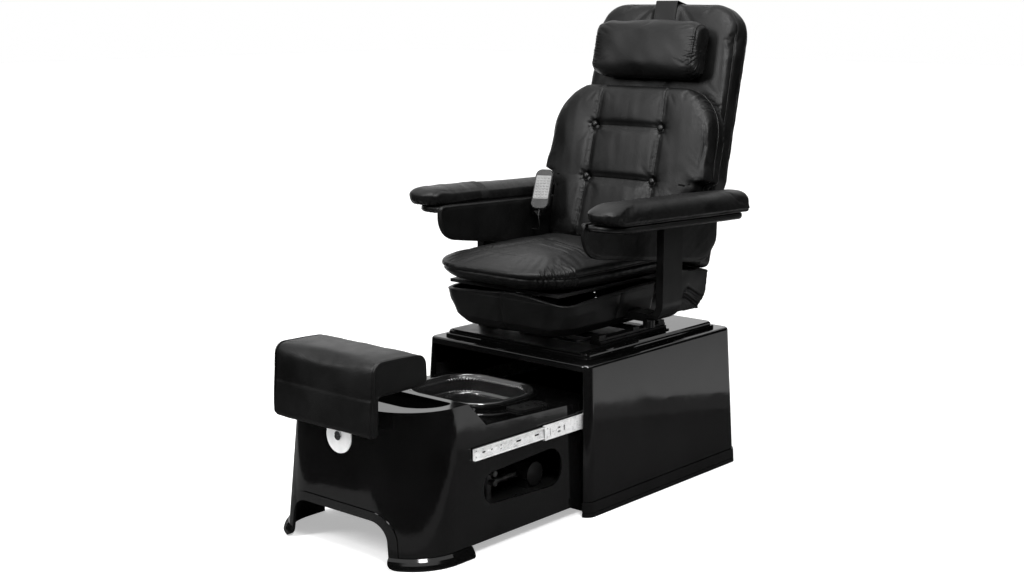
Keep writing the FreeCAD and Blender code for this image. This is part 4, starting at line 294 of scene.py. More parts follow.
FINISHES = {
    "black_gelcoat": gelcoat(),
    "black_leatherette": leatherette("black_leatherette"),
    "piping_leather": leatherette("piping_leather", 700, 0.003, 0.006, (0.24, 0.34), 0.0002),
    "strap_leather": leatherette("strap_leather", 600, 0.002, 0.005, (0.45, 0.6), 0.0002),
    "black_steel": powder_coat(),
    "bright_zinc": zinc(),
    "chrome": chrome(),
    "black_board": black_board(),
    "basin_plastic": moulded("basin_plastic", 0.010, 0.15, 300, 1.6, 0.8),
    "black_plastic": moulded("black_plastic", 0.006, 0.30),
    "grey_keypad": moulded("grey_keypad", 0.20, 0.45),
    "grey_key": moulded("grey_key", 0.42, 0.40),
    "pale_key": moulded("pale_key", 0.62, 0.40),
    "satin_plate": satin_plate(),
    # Zinc darkened as painted shade, for fittings that sit in shadow inside the shell
    "shaded_dull_zinc": shaded_dull_zinc(),
    "strap_webbing": webbing(),
    "black_rubber": moulded("black_rubber", 0.006, 0.50, 500),
}


# Nodes that look unlike the rest of their slot; the recline rod and hose fitting get zinc darkened as painted
# shade
OWN_FINISHES = {"lock_plate": "satin_plate", "recline_rod": "shaded_dull_zinc", "hose_and_fitting": "shaded_dull_zinc"}


def dress_frame():
    """Every carried-over piece gets a finish of its own, or the one of its slot's name."""
    for name, piece in nodes.items():
        for place in piece.material_slots:
            place.material = FINISHES[OWN_FINISHES.get(name, place.material.name.split(".")[0])]


dress_frame()

# Soft goods

# The backrest's frame: origin on its hinge, z up along its lean. The armrests': level before their tilt.
HINGE = Vector((0, 0.200, 0.600))
BACK = Matrix.Translation(HINGE) @ Matrix.Rotation(math.radians(-14.36), 4, "X")
ARM_FLOOR = Vector((0, 0, 0.812))
ARMS = (Matrix.Translation(ARM_FLOOR) @ Matrix.Rotation(math.radians(-1.7), 4, "X")
        @ Matrix.Translation(-ARM_FLOOR))
LEVEL = Matrix()
SIM_FRAMES = 20


def linked(name, data):
    piece = bpy.data.objects.new(name, data)
    bpy.context.scene.collection.objects.link(piece)
    return piece


def bake(piece):
    """Replace a piece's mesh by what its modifiers make of it."""
    graph = bpy.context.evaluated_depsgraph_get()
    made = bpy.data.meshes.new_from_object(piece.evaluated_get(graph))
    piece.modifiers.clear()
    piece.data = made


def copied(node_name, name, voxel, smoothing=4):
    """A new piece with a node's form, its skin divided into even quads."""
    piece = linked(name, nodes[node_name].data.copy())
    remesh = piece.modifiers.new("remesh", "REMESH")
    remesh.mode = "VOXEL"
    remesh.voxel_size = voxel
    smooth = piece.modifiers.new("smooth", "SMOOTH")
    smooth.iterations = smoothing
    bake(piece)
    return piece


def divided(piece, levels=1):
    subdivision = piece.modifiers.new("subdivision", "SUBSURF")
    subdivision.levels = levels
    bake(piece)


def dressed(piece, body, slot, *replaced, finish=None):
    """Give a piece its look (its own finish, else the one named by its slot), its body, and hide the nodes
    that it stands for.
    """
    piece.data.materials.clear()
    piece.data.materials.append(FINISHES[finish or slot])
    for face in piece.data.polygons:
        face.use_smooth = True
    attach(piece, body)
    if replaced:
        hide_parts(*replaced)
    return piece


class Skin:
    """A piece's points as arrays in a local frame, pushed about and written back."""

    def __init__(self, piece, frame=LEVEL):
        self.mesh = piece.data
        self.turn = np.array(frame)[:3, :3]
        self.origin = np.array(frame)[:3, 3]
        count = len(self.mesh.vertices)
        flat = np.empty(count * 3)
        self.mesh.vertices.foreach_get("co", flat)
        self.at = (flat.reshape(-1, 3) - self.origin) @ self.turn
        self.mesh.vertices.foreach_get("normal", flat)
        self.facing = flat.reshape(-1, 3) @ self.turn

    # Every point's place along each axis of the frame, and how far it faces that way
    x, y, z = (property(lambda self, axis=axis: self.at[:, axis]) for axis in range(3))
    face_x, face_y, face_z = (property(lambda self, axis=axis: self.facing[:, axis]) for axis in range(3))

    def along(self, amount):
        self.at = self.at + self.facing * np.reshape(amount, (-1, 1))

    def write(self):
        world = self.at @ self.turn.T + self.origin
        self.mesh.vertices.foreach_set("co", world.ravel())
        self.mesh.update()

    def tree(self):
        faces = [tuple(face.vertices) for face in self.mesh.polygons]
        return BVHTree.FromPolygons([tuple(point) for point in self.at], faces)


def eased(value, low, high):
    """From 0 at low to 1 at high, smoothly."""
    share = np.clip((np.asarray(value, float) - low) / (high - low), 0, 1)
    return share * share * (3 - 2 * share)


def hump(value, width):
    return np.exp(-(np.asarray(value) / width) ** 2)


def ripple(at, seed, wave):
    """A smooth seeded unevenness, mostly between -1 and 1; wave is its length."""
    random = np.random.default_rng(seed)
    total = np.zeros(len(at))
    for _ in range(9):
        direction = random.normal(size=at.shape[1])
        direction /= np.linalg.norm(direction) * wave * random.uniform(0.6, 1.7)
        total += np.sin(2 * math.pi * (at @ direction + random.uniform()))
    return total / 4


def beside(at, path):
    """Each point's distance to a path of straight runs, its place along it, and the path's length."""
    gap = np.full(len(at), np.inf)
    along = np.zeros(len(at))
    start = 0.0
    for first, second in zip(path, path[1:]):
        first = np.asarray(first, float)
        run = np.asarray(second, float) - first
        length = np.linalg.norm(run)
        share = np.clip((at - first) @ run / length ** 2, 0, 1)
        distance = np.linalg.norm(at - first - share[:, None] * run, axis=1)
        nearer = distance < gap
        gap[nearer] = distance[nearer]
        along[nearer] = start + share[nearer] * length
        start += length
    return gap, along, start


def curved(points, steps=6):
    """More points on a smooth curve through the given ones."""
    points = [np.asarray(point, float) for point in points]
    ends = [2 * points[0] - points[1]] + points + [2 * points[-1] - points[-2]]
    made = []
    for before, first, second, after in zip(ends, ends[1:], ends[2:], ends[3:]):
        for step in range(steps):
            t = step / steps
            made.append(0.5 * (2 * first + (second - before) * t
                               + (2 * before - 5 * first + 4 * second - after) * t ** 2
                               + (3 * first - before - 3 * second + after) * t ** 3))
    return made + [points[-1]]


def sewn(at, path, seed, valley, valley_width, groove, groove_width, pucker=0.0005):
    """How far a seam draws the skin in: a broad valley, a narrow groove and puckers beside it."""
    gap, along, _ = beside(at, path)
    random = np.random.default_rng(seed)
    sway = np.zeros(len(at))
    for pitch in (0.011, 0.017, 0.031):
        sway += np.sin(2 * math.pi * (along / (pitch * random.uniform(0.85, 1.15)) + random.uniform()))
    puckers = pucker * sway * hump(gap - valley_width * 0.7, valley_width * 0.6)
    return puckers - valley * hump(gap, valley_width) - groove * hump(gap, groove_width)


def gathers(at, path, seed, count, reach, deep, width=0.004, lean=0.35, span=(0.0, 1.0)):
    """Creases that start on a seam and run away from it, each with a ridge beside it."""
    gap, along, length = beside(at, path)
    random = np.random.default_rng(seed)
    total = np.zeros(len(at))
    for _ in range(count):
        place = length * random.uniform(*span)
        thick = width * random.uniform(0.6, 1.5)
        far = reach * random.uniform(0.45, 1.3)
        tilt = random.uniform(-lean, lean)
        strength = deep * random.uniform(0.4, 1.0)
        offset = along - place - tilt * gap
        fade = hump(gap, far)
        total += strength * fade * (0.6 * hump(np.abs(offset) - 1.9 * thick, thick) - hump(offset, thick))
    return total


def crease(at, path, deep, width, ends=0.02):
    """One soft crease with a ridge along each side, dying away at both ends."""
    gap, along, length = beside(at, path)
    fade = eased(along, 0, ends) * eased(length - along, 0, ends)
    return deep * fade * (0.45 * hump(gap - 1.8 * width, width) - hump(gap, width))


def inflate(piece, held, frame=LEVEL, pressure=4.0, cap=0.016, shrink=0.004):
    """Swell a closed skin as cloth under pressure. held gives 1 where it stays put, 0 where it is free."""
    start = Skin(piece, frame)
    stays = np.clip(held(start), 0, 1)
    start.along(-shrink * (1 - stays))
    start.write()
    group = piece.vertex_groups.new(name="held")
    for step in range(11):
        chosen = np.nonzero(np.round(stays * 10) == step)[0]
        if len(chosen) and step:
            group.add(chosen.tolist(), step / 10, "REPLACE")
    cloth = piece.modifiers.new("cloth", "CLOTH")
    cloth.settings.quality = 4
    cloth.settings.use_pressure = True
    cloth.settings.uniform_pressure_force = pressure
    cloth.settings.effector_weights.gravity = 0
    cloth.settings.vertex_group_mass = "held"
    cloth.point_cache.frame_start = 1
    cloth.point_cache.frame_end = SIM_FRAMES
    for number in range(1, SIM_FRAMES + 1):
        bpy.context.scene.frame_set(number)
    bake(piece)
    bpy.context.scene.frame_set(1)
    piece.vertex_groups.clear()
    swollen = Skin(piece, frame)
    moved = swollen.at - start.at
    far = np.linalg.norm(moved, axis=1)
    swollen.at = start.at + moved * (cap * np.tanh(far / cap) / np.maximum(far, 1e-9))[:, None]
    swollen.write()


def walled(mesh, loops, number=0):
    """Faces between closed loops of points, one loop after another; a loop of one point is a tip."""
    for inner, outer in zip(loops, loops[1:]):
        count = max(len(inner), len(outer))
        for i in range(count):
            j = (i + 1) % count
            corners = [loop[k % len(loop)] for loop, k in ((inner, i), (inner, j), (outer, j), (outer, i))]
            mesh.faces.new(list(dict.fromkeys(corners))).material_index = number


def capped(mesh, loops, number=0):
    """Walls between loops of points, closed at both ends."""
    walled(mesh, loops, number)
    for loop in (loops[-1], loops[0][::-1]):
        mesh.faces.new(loop).material_index = number


def made(mesh, name):
    bmesh.ops.recalc_face_normals(mesh, faces=mesh.faces)
    data = bpy.data.meshes.new(name)
    mesh.to_mesh(data)
    mesh.free()
    return linked(name, data)


def kept_near(piece, node_name, allow, where, frame=LEVEL):
    """Hold the chosen points within a distance outside the node's own skin."""
    limit = Skin(nodes[node_name], frame).tree()
    skin = Skin(piece, frame)
    for index in np.nonzero(where(skin))[0]:
        nearest, normal, _, _ = limit.find_nearest(Vector(skin.at[index]))
        proud = (Vector(skin.at[index]) - nearest).dot(normal)
        if proud > allow:
            skin.at[index] = nearest + normal * allow
    skin.write()


def smoothed(points, times):
    """A closed row of points, each drawn towards the middle of its neighbours."""
    row = np.array([tuple(point) for point in points])
    for _ in range(times):
        row = (np.roll(row, 1, axis=0) + 2 * row + np.roll(row, -1, axis=0)) / 4
    return row


def crossing(piece, frame, level_axis, level, centre, count=220):
    """Where a plane of the frame cuts a piece's skin, all the way round a centre on it."""
    tree = Skin(piece, frame).tree()
    flat_axes = [axis for axis in range(3) if axis != level_axis]
    found = []
    for step in range(count):
        angle = 2 * math.pi * step / count
        direction = Vector((0, 0, 0))
        direction[flat_axes[0]] = math.cos(angle)
        direction[flat_axes[1]] = math.sin(angle)
        middle = Vector((0, 0, 0))
        middle[level_axis] = level
        middle[flat_axes[0]], middle[flat_axes[1]] = centre
        hit = tree.ray_cast(middle + direction * 2, -direction)[0]
        if hit is not None:
            found.append(hit + direction * 0.0006)
    return smoothed(found, 2)


def piping(name, points, frame, radius, body):
    """A round welt that runs all the way round along points of a frame, as a mesh."""
    data = bpy.data.curves.new(name, "CURVE")
    data.dimensions = "3D"
    spline = data.splines.new("POLY")
    spline.points.add(len(points) - 1)
    for place, point in zip(spline.points, points):
        place.co = (*(frame @ Vector(point)), 1)
    spline.use_cyclic_u = True
    data.bevel_depth = radius
    data.bevel_resolution = 2
    curve = linked(name + "_line", data)
    graph = bpy.context.evaluated_depsgraph_get()
    mesh = bpy.data.meshes.new_from_object(curve.evaluated_get(graph))
    bpy.data.objects.remove(curve)
    dressed(linked(name, mesh), body, "black_leatherette", finish="piping_leather")


# Seat

SEAT_SEAM = 0.686
SEAT_UNDERSIDE = 0.6362
SEAT_REAR = 0.1185
# A fold that runs back and then turns forward, and the soft creases in front of it
SEAT_FOLD = curved([(-0.236, -0.292), (-0.180, -0.287), (-0.118, -0.278), (-0.103, -0.236), (-0.101, -0.113),
                    (-0.090, -0.050)])
SEAT_FOLD_BACK = curved([(-0.090, -0.046), (-0.028, -0.074), (0.032, -0.102), (0.144, -0.155),
                         (0.196, -0.205)])
SEAT_CREASES = [curved([(-0.060, -0.085), (0.030, -0.128), (0.120, -0.168), (0.190, -0.214)]),
                curved([(-0.030, -0.125), (0.050, -0.158), (0.130, -0.200)]),
                curved([(-0.080, -0.150), (0.000, -0.172), (0.080, -0.205), (0.150, -0.248)]),
                curved([(-0.180, -0.330), (-0.060, -0.345), (0.070, -0.352)])]
# The near front corner, whose cover is drawn together
CORNER = (0.096, -0.320)
CORNER_RADIUS = 0.150
# The creases over its edge: place and width in degrees round the corner, depth and length in metres
CORNER_CREASES = ((42, 1.0, 0.0035, 0.035), (46, 1.1, 0.0045, 0.050), (50, 1.0, 0.0030, 0.030),
                  (56, 1.6, 0.0070, 0.060), (61, 1.2, 0.0035, 0.040), (66, 1.3, 0.0045, 0.055),
                  (71, 1.4, 0.0050, 0.070), (76, 1.6, 0.0050, 0.075), (82, 1.4, 0.0030, 0.040))
BAND_CREASES = 22


def seat_held(skin):
    below_top = eased(-skin.face_z, -0.85, -0.45)
    rear = eased(skin.y, 0.075, 0.100)
    return below_top + rear


def corner_gathers(skin):
    """Creases round the near front corner, up over the edge of the top and down the band below."""
    x, y, z = skin.at.T
    angle = np.degrees(np.arctan2(x - CORNER[0], -(y - CORNER[1])))
    radius = np.hypot(x - CORNER[0], y - CORNER[1])
    reach = CORNER_RADIUS - radius
    random = np.random.default_rng(12)
    push = np.zeros(len(x))
    upper = eased(z, SEAT_SEAM - 0.002, SEAT_SEAM + 0.006)
    for place, width, deep, length in CORNER_CREASES:
        offset = angle - place - random.uniform(-90, 90) * np.maximum(reach, 0)
        fade = eased(length - reach, 0, length * 0.8) * upper
        push += deep * fade * (0.55 * hump(np.abs(offset) - 1.9 * width, width) - hump(offset, width))
    lower = eased(-z, -SEAT_SEAM + 0.002, -SEAT_SEAM + 0.008) * eased(z, 0.645, 0.665)
    for _ in range(BAND_CREASES):
        place = random.uniform(30, 88)
        width = random.uniform(0.7, 1.6)
        offset = angle - place - random.uniform(-300, 300) * (SEAT_SEAM - z)
        push += random.uniform(0.0008, 0.0024) * lower * (
            0.5 * hump(np.abs(offset) - 1.9 * width, width) - hump(offset, width))
    away = eased(radius, 0.03, 0.07)
    return push * away


def seat_cushion():
    piece = copied("seat_cushion", "seat_cushion_cover", 0.006)
    inflate(piece, seat_held, pressure=3.0, cap=0.007, shrink=0.001)
    divided(piece)
    skin = Skin(piece)
    top = eased(skin.face_z, 0.35, 0.75) * eased(skin.z, SEAT_SEAM + 0.008, SEAT_SEAM + 0.02)
    plan = skin.at[:, :2]
    push = top * sewn(plan, SEAT_FOLD, 1, 0.0035, 0.016, 0.0016, 0.0026)
    push += top * sewn(plan, SEAT_FOLD_BACK, 2, 0.003, 0.013, 0.0014, 0.0026)
    for path in SEAT_CREASES:
        push += top * crease(plan, path, 0.0022, 0.0045, 0.06)
    seam_gap = skin.z - SEAT_SEAM
    outward = eased(-skin.face_z, -0.75, -0.4)
    push -= outward * (0.0055 * hump(seam_gap + 0.004, 0.0034) + 0.003 * hump(seam_gap, 0.010))
    push += 0.0011 * ripple(skin.at, 3, 0.22) + 0.0006 * ripple(skin.at, 4, 0.07)
    edge = outward * hump(seam_gap - 0.012, 0.012) + outward * hump(seam_gap + 0.015, 0.01)
    push += 0.0007 * edge * ripple(skin.at, 5, 0.03)
    skin.along(push + corner_gathers(skin))
    skin.at[:, 2] = np.maximum(skin.z, SEAT_UNDERSIDE)
    skin.at[:, 1] = np.minimum(skin.y, SEAT_REAR)
    skin.write()
    welt = crossing(piece, LEVEL, 2, SEAT_SEAM + 0.0005, (0, -0.18))
    dressed(piece, "seat", "black_leatherette", "seat_cushion")
    piping("seat_cushion_piping", welt, LEVEL, 0.0021, "seat")


SKIRT_LOW = 0.520
SKIRT_SEAMS = (-75, 0.5, 100)
SKIRT_RADIUS = 0.23
# The skirt's rim: angle from the front towards the sitter's left, and how far it rises or dips there
SKIRT_RIM = 0.616
SKIRT_WAVE = ((-180, 6), (-123, 6), (-104, 2), (-70, -4), (-52, -9), (-32, -2), (0, 8), (14, 12), (27, 8),
              (35, 2), (40, -4), (45, -10), (50, -13), (55, -11), (60, -8), (70, -5), (85, -2), (104, 2),
              (123, 6), (180, 6))
SKIRT_CENTRE_Y = -0.160


def seat_skirt():
    piece = copied("seat_skirt", "seat_skirt_cover", 0.003, 3)
    skin = Skin(piece)
    x, y, z = skin.at.T
    angle = np.degrees(np.arctan2(x, -(y - SKIRT_CENTRE_Y)))
    places, rises = zip(*SKIRT_WAVE)
    wave = np.interp(angle, places, rises) * MM
    climb = eased(z, SKIRT_LOW, SKIRT_RIM)
    skin.at[:, 2] += wave * climb ** 1.5
    outward = np.stack([np.sin(np.radians(angle)), -np.cos(np.radians(angle))], axis=1)
    outer = np.clip(np.einsum("ij,ij->i", skin.facing[:, :2], outward), 0, 1)
    rim_line = z - (SKIRT_RIM - 0.007)
    push = -0.0018 * hump(rim_line, 0.0024) * outer
    slack = outer * (1 - climb * 0.6)
    push += slack * (0.0028 * ripple(skin.at, 21, 0.16) + 0.0008 * ripple(skin.at, 22, 0.05))
    for seam_angle in SKIRT_SEAMS:
        gap = (angle - seam_angle) * math.radians(1) * SKIRT_RADIUS
        push -= outer * (0.002 * hump(gap, 0.0022) + 0.0022 * hump(gap, 0.012))
    skin.along(push)
    skin.write()
    rim = crossing_rim(skin)
    dressed(piece, "seat", "black_leatherette", "seat_skirt")
    piping("seat_skirt_piping", rim, LEVEL, 0.0024, "seat")


def crossing_rim(skin, count=200):
    """The highest outer points of the skirt, all the way round."""
    angle = np.arctan2(skin.x, -(skin.y - SKIRT_CENTRE_Y))
    tree = skin.tree()
    found = []
    for step in range(count):
        turn = 2 * math.pi * step / count - math.pi
        near = np.abs(angle - turn) < 0.03
        if not near.any():
            continue
        top = skin.at[near][:, 2].max() - 0.0045
        direction = Vector((math.sin(turn), -math.cos(turn), 0))
        hit = tree.ray_cast(Vector((0, SKIRT_CENTRE_Y, top)) + direction * 1.5, -direction)[0]
        if hit is not None:
            found.append(hit + direction * 0.0008)
    return smoothed(found, 3)


# Backrest

SEAM_X = 0.130
TUFT_LOW = 0.292
TUFT_HIGH = 0.461
TUFTS = [(x, z) for x in (-SEAM_X, SEAM_X) for z in (TUFT_LOW, TUFT_HIGH)]
LUMBAR_FRONT = -0.1016
# Above the armrest on the sitter's right the pad's overhang sags, from this far out and below this height
OVERHANG_X = 0.284
OVERHANG_TOP = 0.365
OVERHANG_SAG = 0.010
LUMBAR_SEAM_Y = -0.0366
LUMBAR_SEAMS = [curved([(side * 0.146, 0.080), (side * 0.138, 0.180), (side * SEAM_X, TUFT_LOW),
                        (side * 0.130, 0.376), (side * SEAM_X, TUFT_HIGH), (side * 0.127, 0.530),
                        (side * 0.121, 0.612)]) for side in (-1, 1)]
CROSS_SEAMS = [[(-SEAM_X, height), (SEAM_X, height)] for height in (TUFT_LOW, TUFT_HIGH)]


def lumbar_held(skin):
    rear = eased(skin.y, -0.012, -0.004)
    low_sides = eased(np.abs(skin.face_x), 0.5, 0.8) * eased(-skin.z, -0.37, -0.34)
    front = eased(-skin.face_y, 0.3, 0.7)
    plan = skin.at[:, [0, 2]]
    seams = np.zeros(len(plan))
    for path in LUMBAR_SEAMS + CROSS_SEAMS:
        seams = np.maximum(seams, hump(beside(plan, path)[0], 0.006))
    side_seam = hump(skin.y - LUMBAR_SEAM_Y, 0.005) * (1 - front)
    bottom = eased(-skin.face_z, 0.5, 0.8)
    return rear + low_sides + seams * front + side_seam + bottom


def lumbar_pad():
    piece = copied("lumbar_pad", "lumbar_cover", 0.006)
    inflate(piece, lumbar_held, BACK, cap=0.022, shrink=0.005)
    divided(piece)
    skin = Skin(piece, BACK)
    plan = skin.at[:, [0, 2]]
    front = eased(-skin.face_y, 0.15, 0.55)
    push = np.zeros(len(plan))
    for number, path in enumerate(LUMBAR_SEAMS):
        push += sewn(plan, path, 31 + number, 0.0040, 0.012, 0.0032, 0.0022, 0.00012)
    for number, path in enumerate(CROSS_SEAMS):
        push += sewn(plan, path, 41 + number, 0.0070, 0.013, 0.0034, 0.0024, 0.00010)
    for number, (x, z) in enumerate(TUFTS):
        offset = plan - (x, z)
        radius = np.linalg.norm(offset, axis=1)
        turn = np.arctan2(offset[:, 1], offset[:, 0])
        push -= 0.0055 * hump(radius, 0.020)
        pleats = np.cos(9 * turn + number) * hump(radius - 0.020, 0.010)
        push += 0.0009 * pleats
    push *= front
    push += front * (0.0012 * ripple(skin.at, 51, 0.20) + 0.0004 * ripple(skin.at, 52, 0.06))
    side = (1 - front) * eased(-skin.y, -0.002, 0.01)
    push -= side * 0.003 * hump(skin.y - LUMBAR_SEAM_Y + 0.004, 0.0028)
    shoulder = curved([(0.300, 0.500), (0.285, 0.535), (0.262, 0.565), (0.215, 0.592)])
    band = eased(0.050 - beside(plan, shoulder)[0], 0, 0.025)
    push += band * gathers(plan, shoulder, 61, 9, 0.022, 0.0030, 0.0036, 0.9, (0.05, 0.75))
    for inset in (0.006, 0.020):
        line = curved([(0.316 - inset, 0.330), (0.318 - inset, 0.420), (0.304 - inset, 0.510)])
        push += crease(plan, line, 0.0018, 0.0045, 0.05)
    skin.along(push)
    overhang = eased(-skin.x, OVERHANG_X, OVERHANG_X + 0.016) * eased(OVERHANG_TOP - skin.z, 0, 0.050)
    skin.at[:, 2] -= OVERHANG_SAG * overhang
    skin.write()
    kept_near(piece, "lumbar_pad", 0.0012,
              lambda s: (s.z < 0.375) & (np.abs(s.x) > 0.22), BACK)
    kept_near(piece, "lumbar_pad", 0.0002, lambda s: s.y > -0.006, BACK)
    welt = crossing(piece, BACK, 1, LUMBAR_SEAM_Y, (0, 0.34), 260)
    dressed(piece, "backrest", "black_leatherette", "lumbar_pad")
    piping("lumbar_piping", welt, BACK, 0.0019, "backrest")


def tuft_buttons():
    """Covered buttons: domes with a rolled edge."""
    mesh = bmesh.new()
    rings = [(0.0, 0.0066), (0.004, 0.0062), (0.008, 0.0046), (0.0108, 0.0018), (0.0115, -0.001),
             (0.0105, -0.0035), (0.006, -0.0050), (0.0, -0.0052)]
    spokes = 28
    for number, (x, z) in enumerate(TUFTS):
        loops = []
        for radius, height in rings:
            loop = []
            for spoke in range(spokes if radius else 1):
                angle = 2 * math.pi * spoke / spokes
                wobble = 1 + 0.02 * math.sin(5 * angle + number)
                local = Vector((x + radius * wobble * math.cos(angle), LUMBAR_FRONT + 0.0045 - height,
                                z + radius * wobble * math.sin(angle)))
                loop.append(mesh.verts.new(BACK @ local))
            loops.append(loop)
        walled(mesh, loops)
    piece = made(mesh, "tuft_button_domes")
    divided(piece)
    dressed(piece, "backrest", "black_leatherette", "tuft_buttons", finish="piping_leather")


def back_held(skin):
    behind_lumbar = eased(-skin.face_y, 0.5, 0.8) * eased(-skin.z, -0.60, -0.57)
    low = eased(-skin.z, -0.36, -0.33)
    rear = 0.6 * eased(skin.face_y, 0.5, 0.8)
    strap = hump(np.maximum(np.abs(skin.x) - 0.040, 0), 0.01) * eased(skin.z, 0.60, 0.64)
    return behind_lumbar + low + rear + strap


BACK_SEAMS = (0.036, 0.088)
BACK_WELTS = (0.035, 0.087)


def back_cushion():
    piece = copied("back_cushion", "back_cushion_cover", 0.007)
    inflate(piece, back_held, BACK, cap=0.012, shrink=0.004)
    divided(piece)
    skin = Skin(piece, BACK)
    plan = skin.at[:, [0, 2]]
    side = eased(np.abs(skin.face_x), 0.35, 0.7)
    push = np.zeros(len(plan))
    for seam_y in BACK_SEAMS:
        push -= 0.0022 * hump(skin.y - seam_y, 0.0026) * (1 - eased(np.abs(skin.face_y), 0.75, 0.95))
    strap_free = eased(np.abs(skin.x), 0.044, 0.060)
    front = eased(-skin.face_y, 0.2, 0.7)
    for sign, seed in ((1, 71), (-1, 73)):
        fold = [(sign * 0.262, 0.470), (sign * 0.270, 0.500), (sign * 0.276, 0.530)]
        push += front * gathers(plan, fold, seed, 9, 0.030, 0.004, 0.0045, 1.0)
        for inset in (0.012, 0.024):
            line = curved([(sign * (0.280 - inset), 0.360), (sign * (0.277 - inset * 0.8), 0.450),
                           (sign * (0.272 - inset * 0.5), 0.560)])
            push += front * crease(plan, line, 0.0018, 0.005, 0.05)
    push += strap_free * (0.0010 * ripple(skin.at, 75, 0.25) + 0.0005 * ripple(skin.at, 76, 0.08))
    push += side * 0.0005 * ripple(skin.at, 77, 0.05)
    skin.along(push)
    skin.write()
    kept_near(piece, "back_cushion", 0.0002,
              lambda s: (s.z < 0.6) & (s.y < 0.03) & (np.abs(s.x) < 0.255), BACK)
    kept_near(piece, "back_cushion", 0.0003,
              lambda s: (np.abs(s.x) < 0.047) & (s.z > 0.60), BACK)
    kept_near(piece, "back_cushion", 0.0015, lambda s: s.z < 0.36, BACK)
    welts = [crossing(piece, BACK, 1, welt_y, (0, 0.48), 260) for welt_y in BACK_WELTS]
    dressed(piece, "backrest", "black_leatherette", "back_cushion")
    for end, welt in zip(("front", "rear"), welts):
        piping("back_piping_" + end, welt, BACK, 0.0016, "backrest")


PILLOW_REAR = 0.006
PILLOW_MIDDLE = (-0.0430, 0.721)


def pillow_held(skin):
    rear = eased(skin.y, -0.006, 0.002)
    ends = hump(np.abs(np.abs(skin.x) - 0.192), 0.004)
    return 0.9 * rear + 0.9 * ends


def pillow():
    piece = copied("pillow", "pillow_cover", 0.005)
    inflate(piece, pillow_held, BACK, cap=0.012, shrink=0.005)
    divided(piece)
    skin = Skin(piece, BACK)
    x, y, z = skin.at.T
    around = np.arctan2(z - PILLOW_MIDDLE[1], y - PILLOW_MIDDLE[0]) * 0.075
    unrolled = np.stack([np.abs(x), around], axis=1)
    push = np.zeros(len(x))
    for sign, seed, count in ((1, 81, 46), (-1, 82, 40)):
        seam = [(0.193, step * 0.02) for step in range(-13, 14)]
        here = x * sign > 0
        push += here * gathers(unrolled, seam, seed, count, 0.018, 0.0026, 0.0024, 0.5)
    push -= 0.0024 * hump(np.abs(x) - 0.193, 0.0024)
    push += 0.0016 * ripple(skin.at, 83, 0.20) + 0.0005 * ripple(skin.at, 84, 0.06)
    top = eased(z, 0.790, 0.812)
    push -= 0.004 * top * hump(np.abs(x) - 0.120, 0.05)
    skin.along(push * eased(-y, -PILLOW_REAR, 0.004 - PILLOW_REAR))
    skin.at[:, 1] = np.minimum(skin.y, PILLOW_REAR)
    drawn_in = 1 - 0.20 * eased(np.abs(x), 0.140, 0.214) ** 1.6
    skin.at[:, 2] = PILLOW_MIDDLE[1] + (skin.z - PILLOW_MIDDLE[1]) * drawn_in
    skin.write()
    dressed(piece, "head_pillow", "black_leatherette", "pillow")


def pillow_strap():
    piece = copied("pillow_strap", "pillow_strap_band", 0.0012, 1)
    skin = Skin(piece, BACK)
    x = skin.x
    push = np.zeros(len(x))
    for edge in (-0.038, 0.038):
        push -= 0.0003 * hump(x - edge, 0.0012)
    push += 0.00025 * ripple(skin.at, 91, 0.05)
    skin.along(push)
    skin.write()
    dressed(piece, "backrest", "black_leatherette", "pillow_strap", finish="strap_leather")


# Folds of the cover: on its side faces in its own y and z, across its rear face in x and z
COVER_CREASE = curved([(-0.026, -0.041), (0.005, -0.044), (0.061, -0.060), (0.085, -0.061)])
COVER_RIDGE = curved([(-0.010, -0.018), (0.071, -0.037), (0.089, -0.0385)])
COVER_FOLDS = ((-0.215, 0.020), (-0.120, -0.016), (-0.030, 0.012), (0.075, -0.020), (0.150, 0.014),
               (0.225, -0.012))


def rear_cover():
    piece = copied("rear_cover", "rear_cover_skirt", 0.0035, 3)
    skin = Skin(piece, BACK)
    side = eased(np.abs(skin.face_x), 0.4, 0.7)
    rear = eased(skin.face_y, 0.2, 0.6)
    push = 0.0018 * ripple(skin.at, 95, 0.11) + 0.0006 * ripple(skin.at, 96, 0.04)
    profile = skin.at[:, 1:]
    push += side * crease(profile, COVER_CREASE, 0.0060, 0.0055, 0.012)
    push -= side * crease(profile, COVER_RIDGE, 0.0040, 0.0055, 0.012)
    for place, lean in COVER_FOLDS:
        fold = [(place, 0.045), (place + lean, -0.085)]
        push += rear * crease(skin.at[:, [0, 2]], fold, 0.0034, 0.011, 0.03)
    hang = eased(-skin.z, -0.050, -0.020)
    skin.along(push * np.clip(side + rear, 0, 1) * hang)
    skin.write()
    kept_near(piece, "rear_cover", 0.0015, lambda s: s.z > 0.02, BACK)
    dressed(piece, "backrest", "black_leatherette", "rear_cover")


# Armrests

PAD_LOW = 0.832
BOARD_GROOVE = 0.8165
BOARD_WELT = 0.8185


def arm_held(skin):
    under = eased(-skin.face_z, 0.4, 0.8)
    inner = hump(skin.z - (PAD_LOW + 0.010), 0.005)
    towards_back = eased(-np.abs(skin.x), -0.296, -0.290)
    return under + inner + towards_back


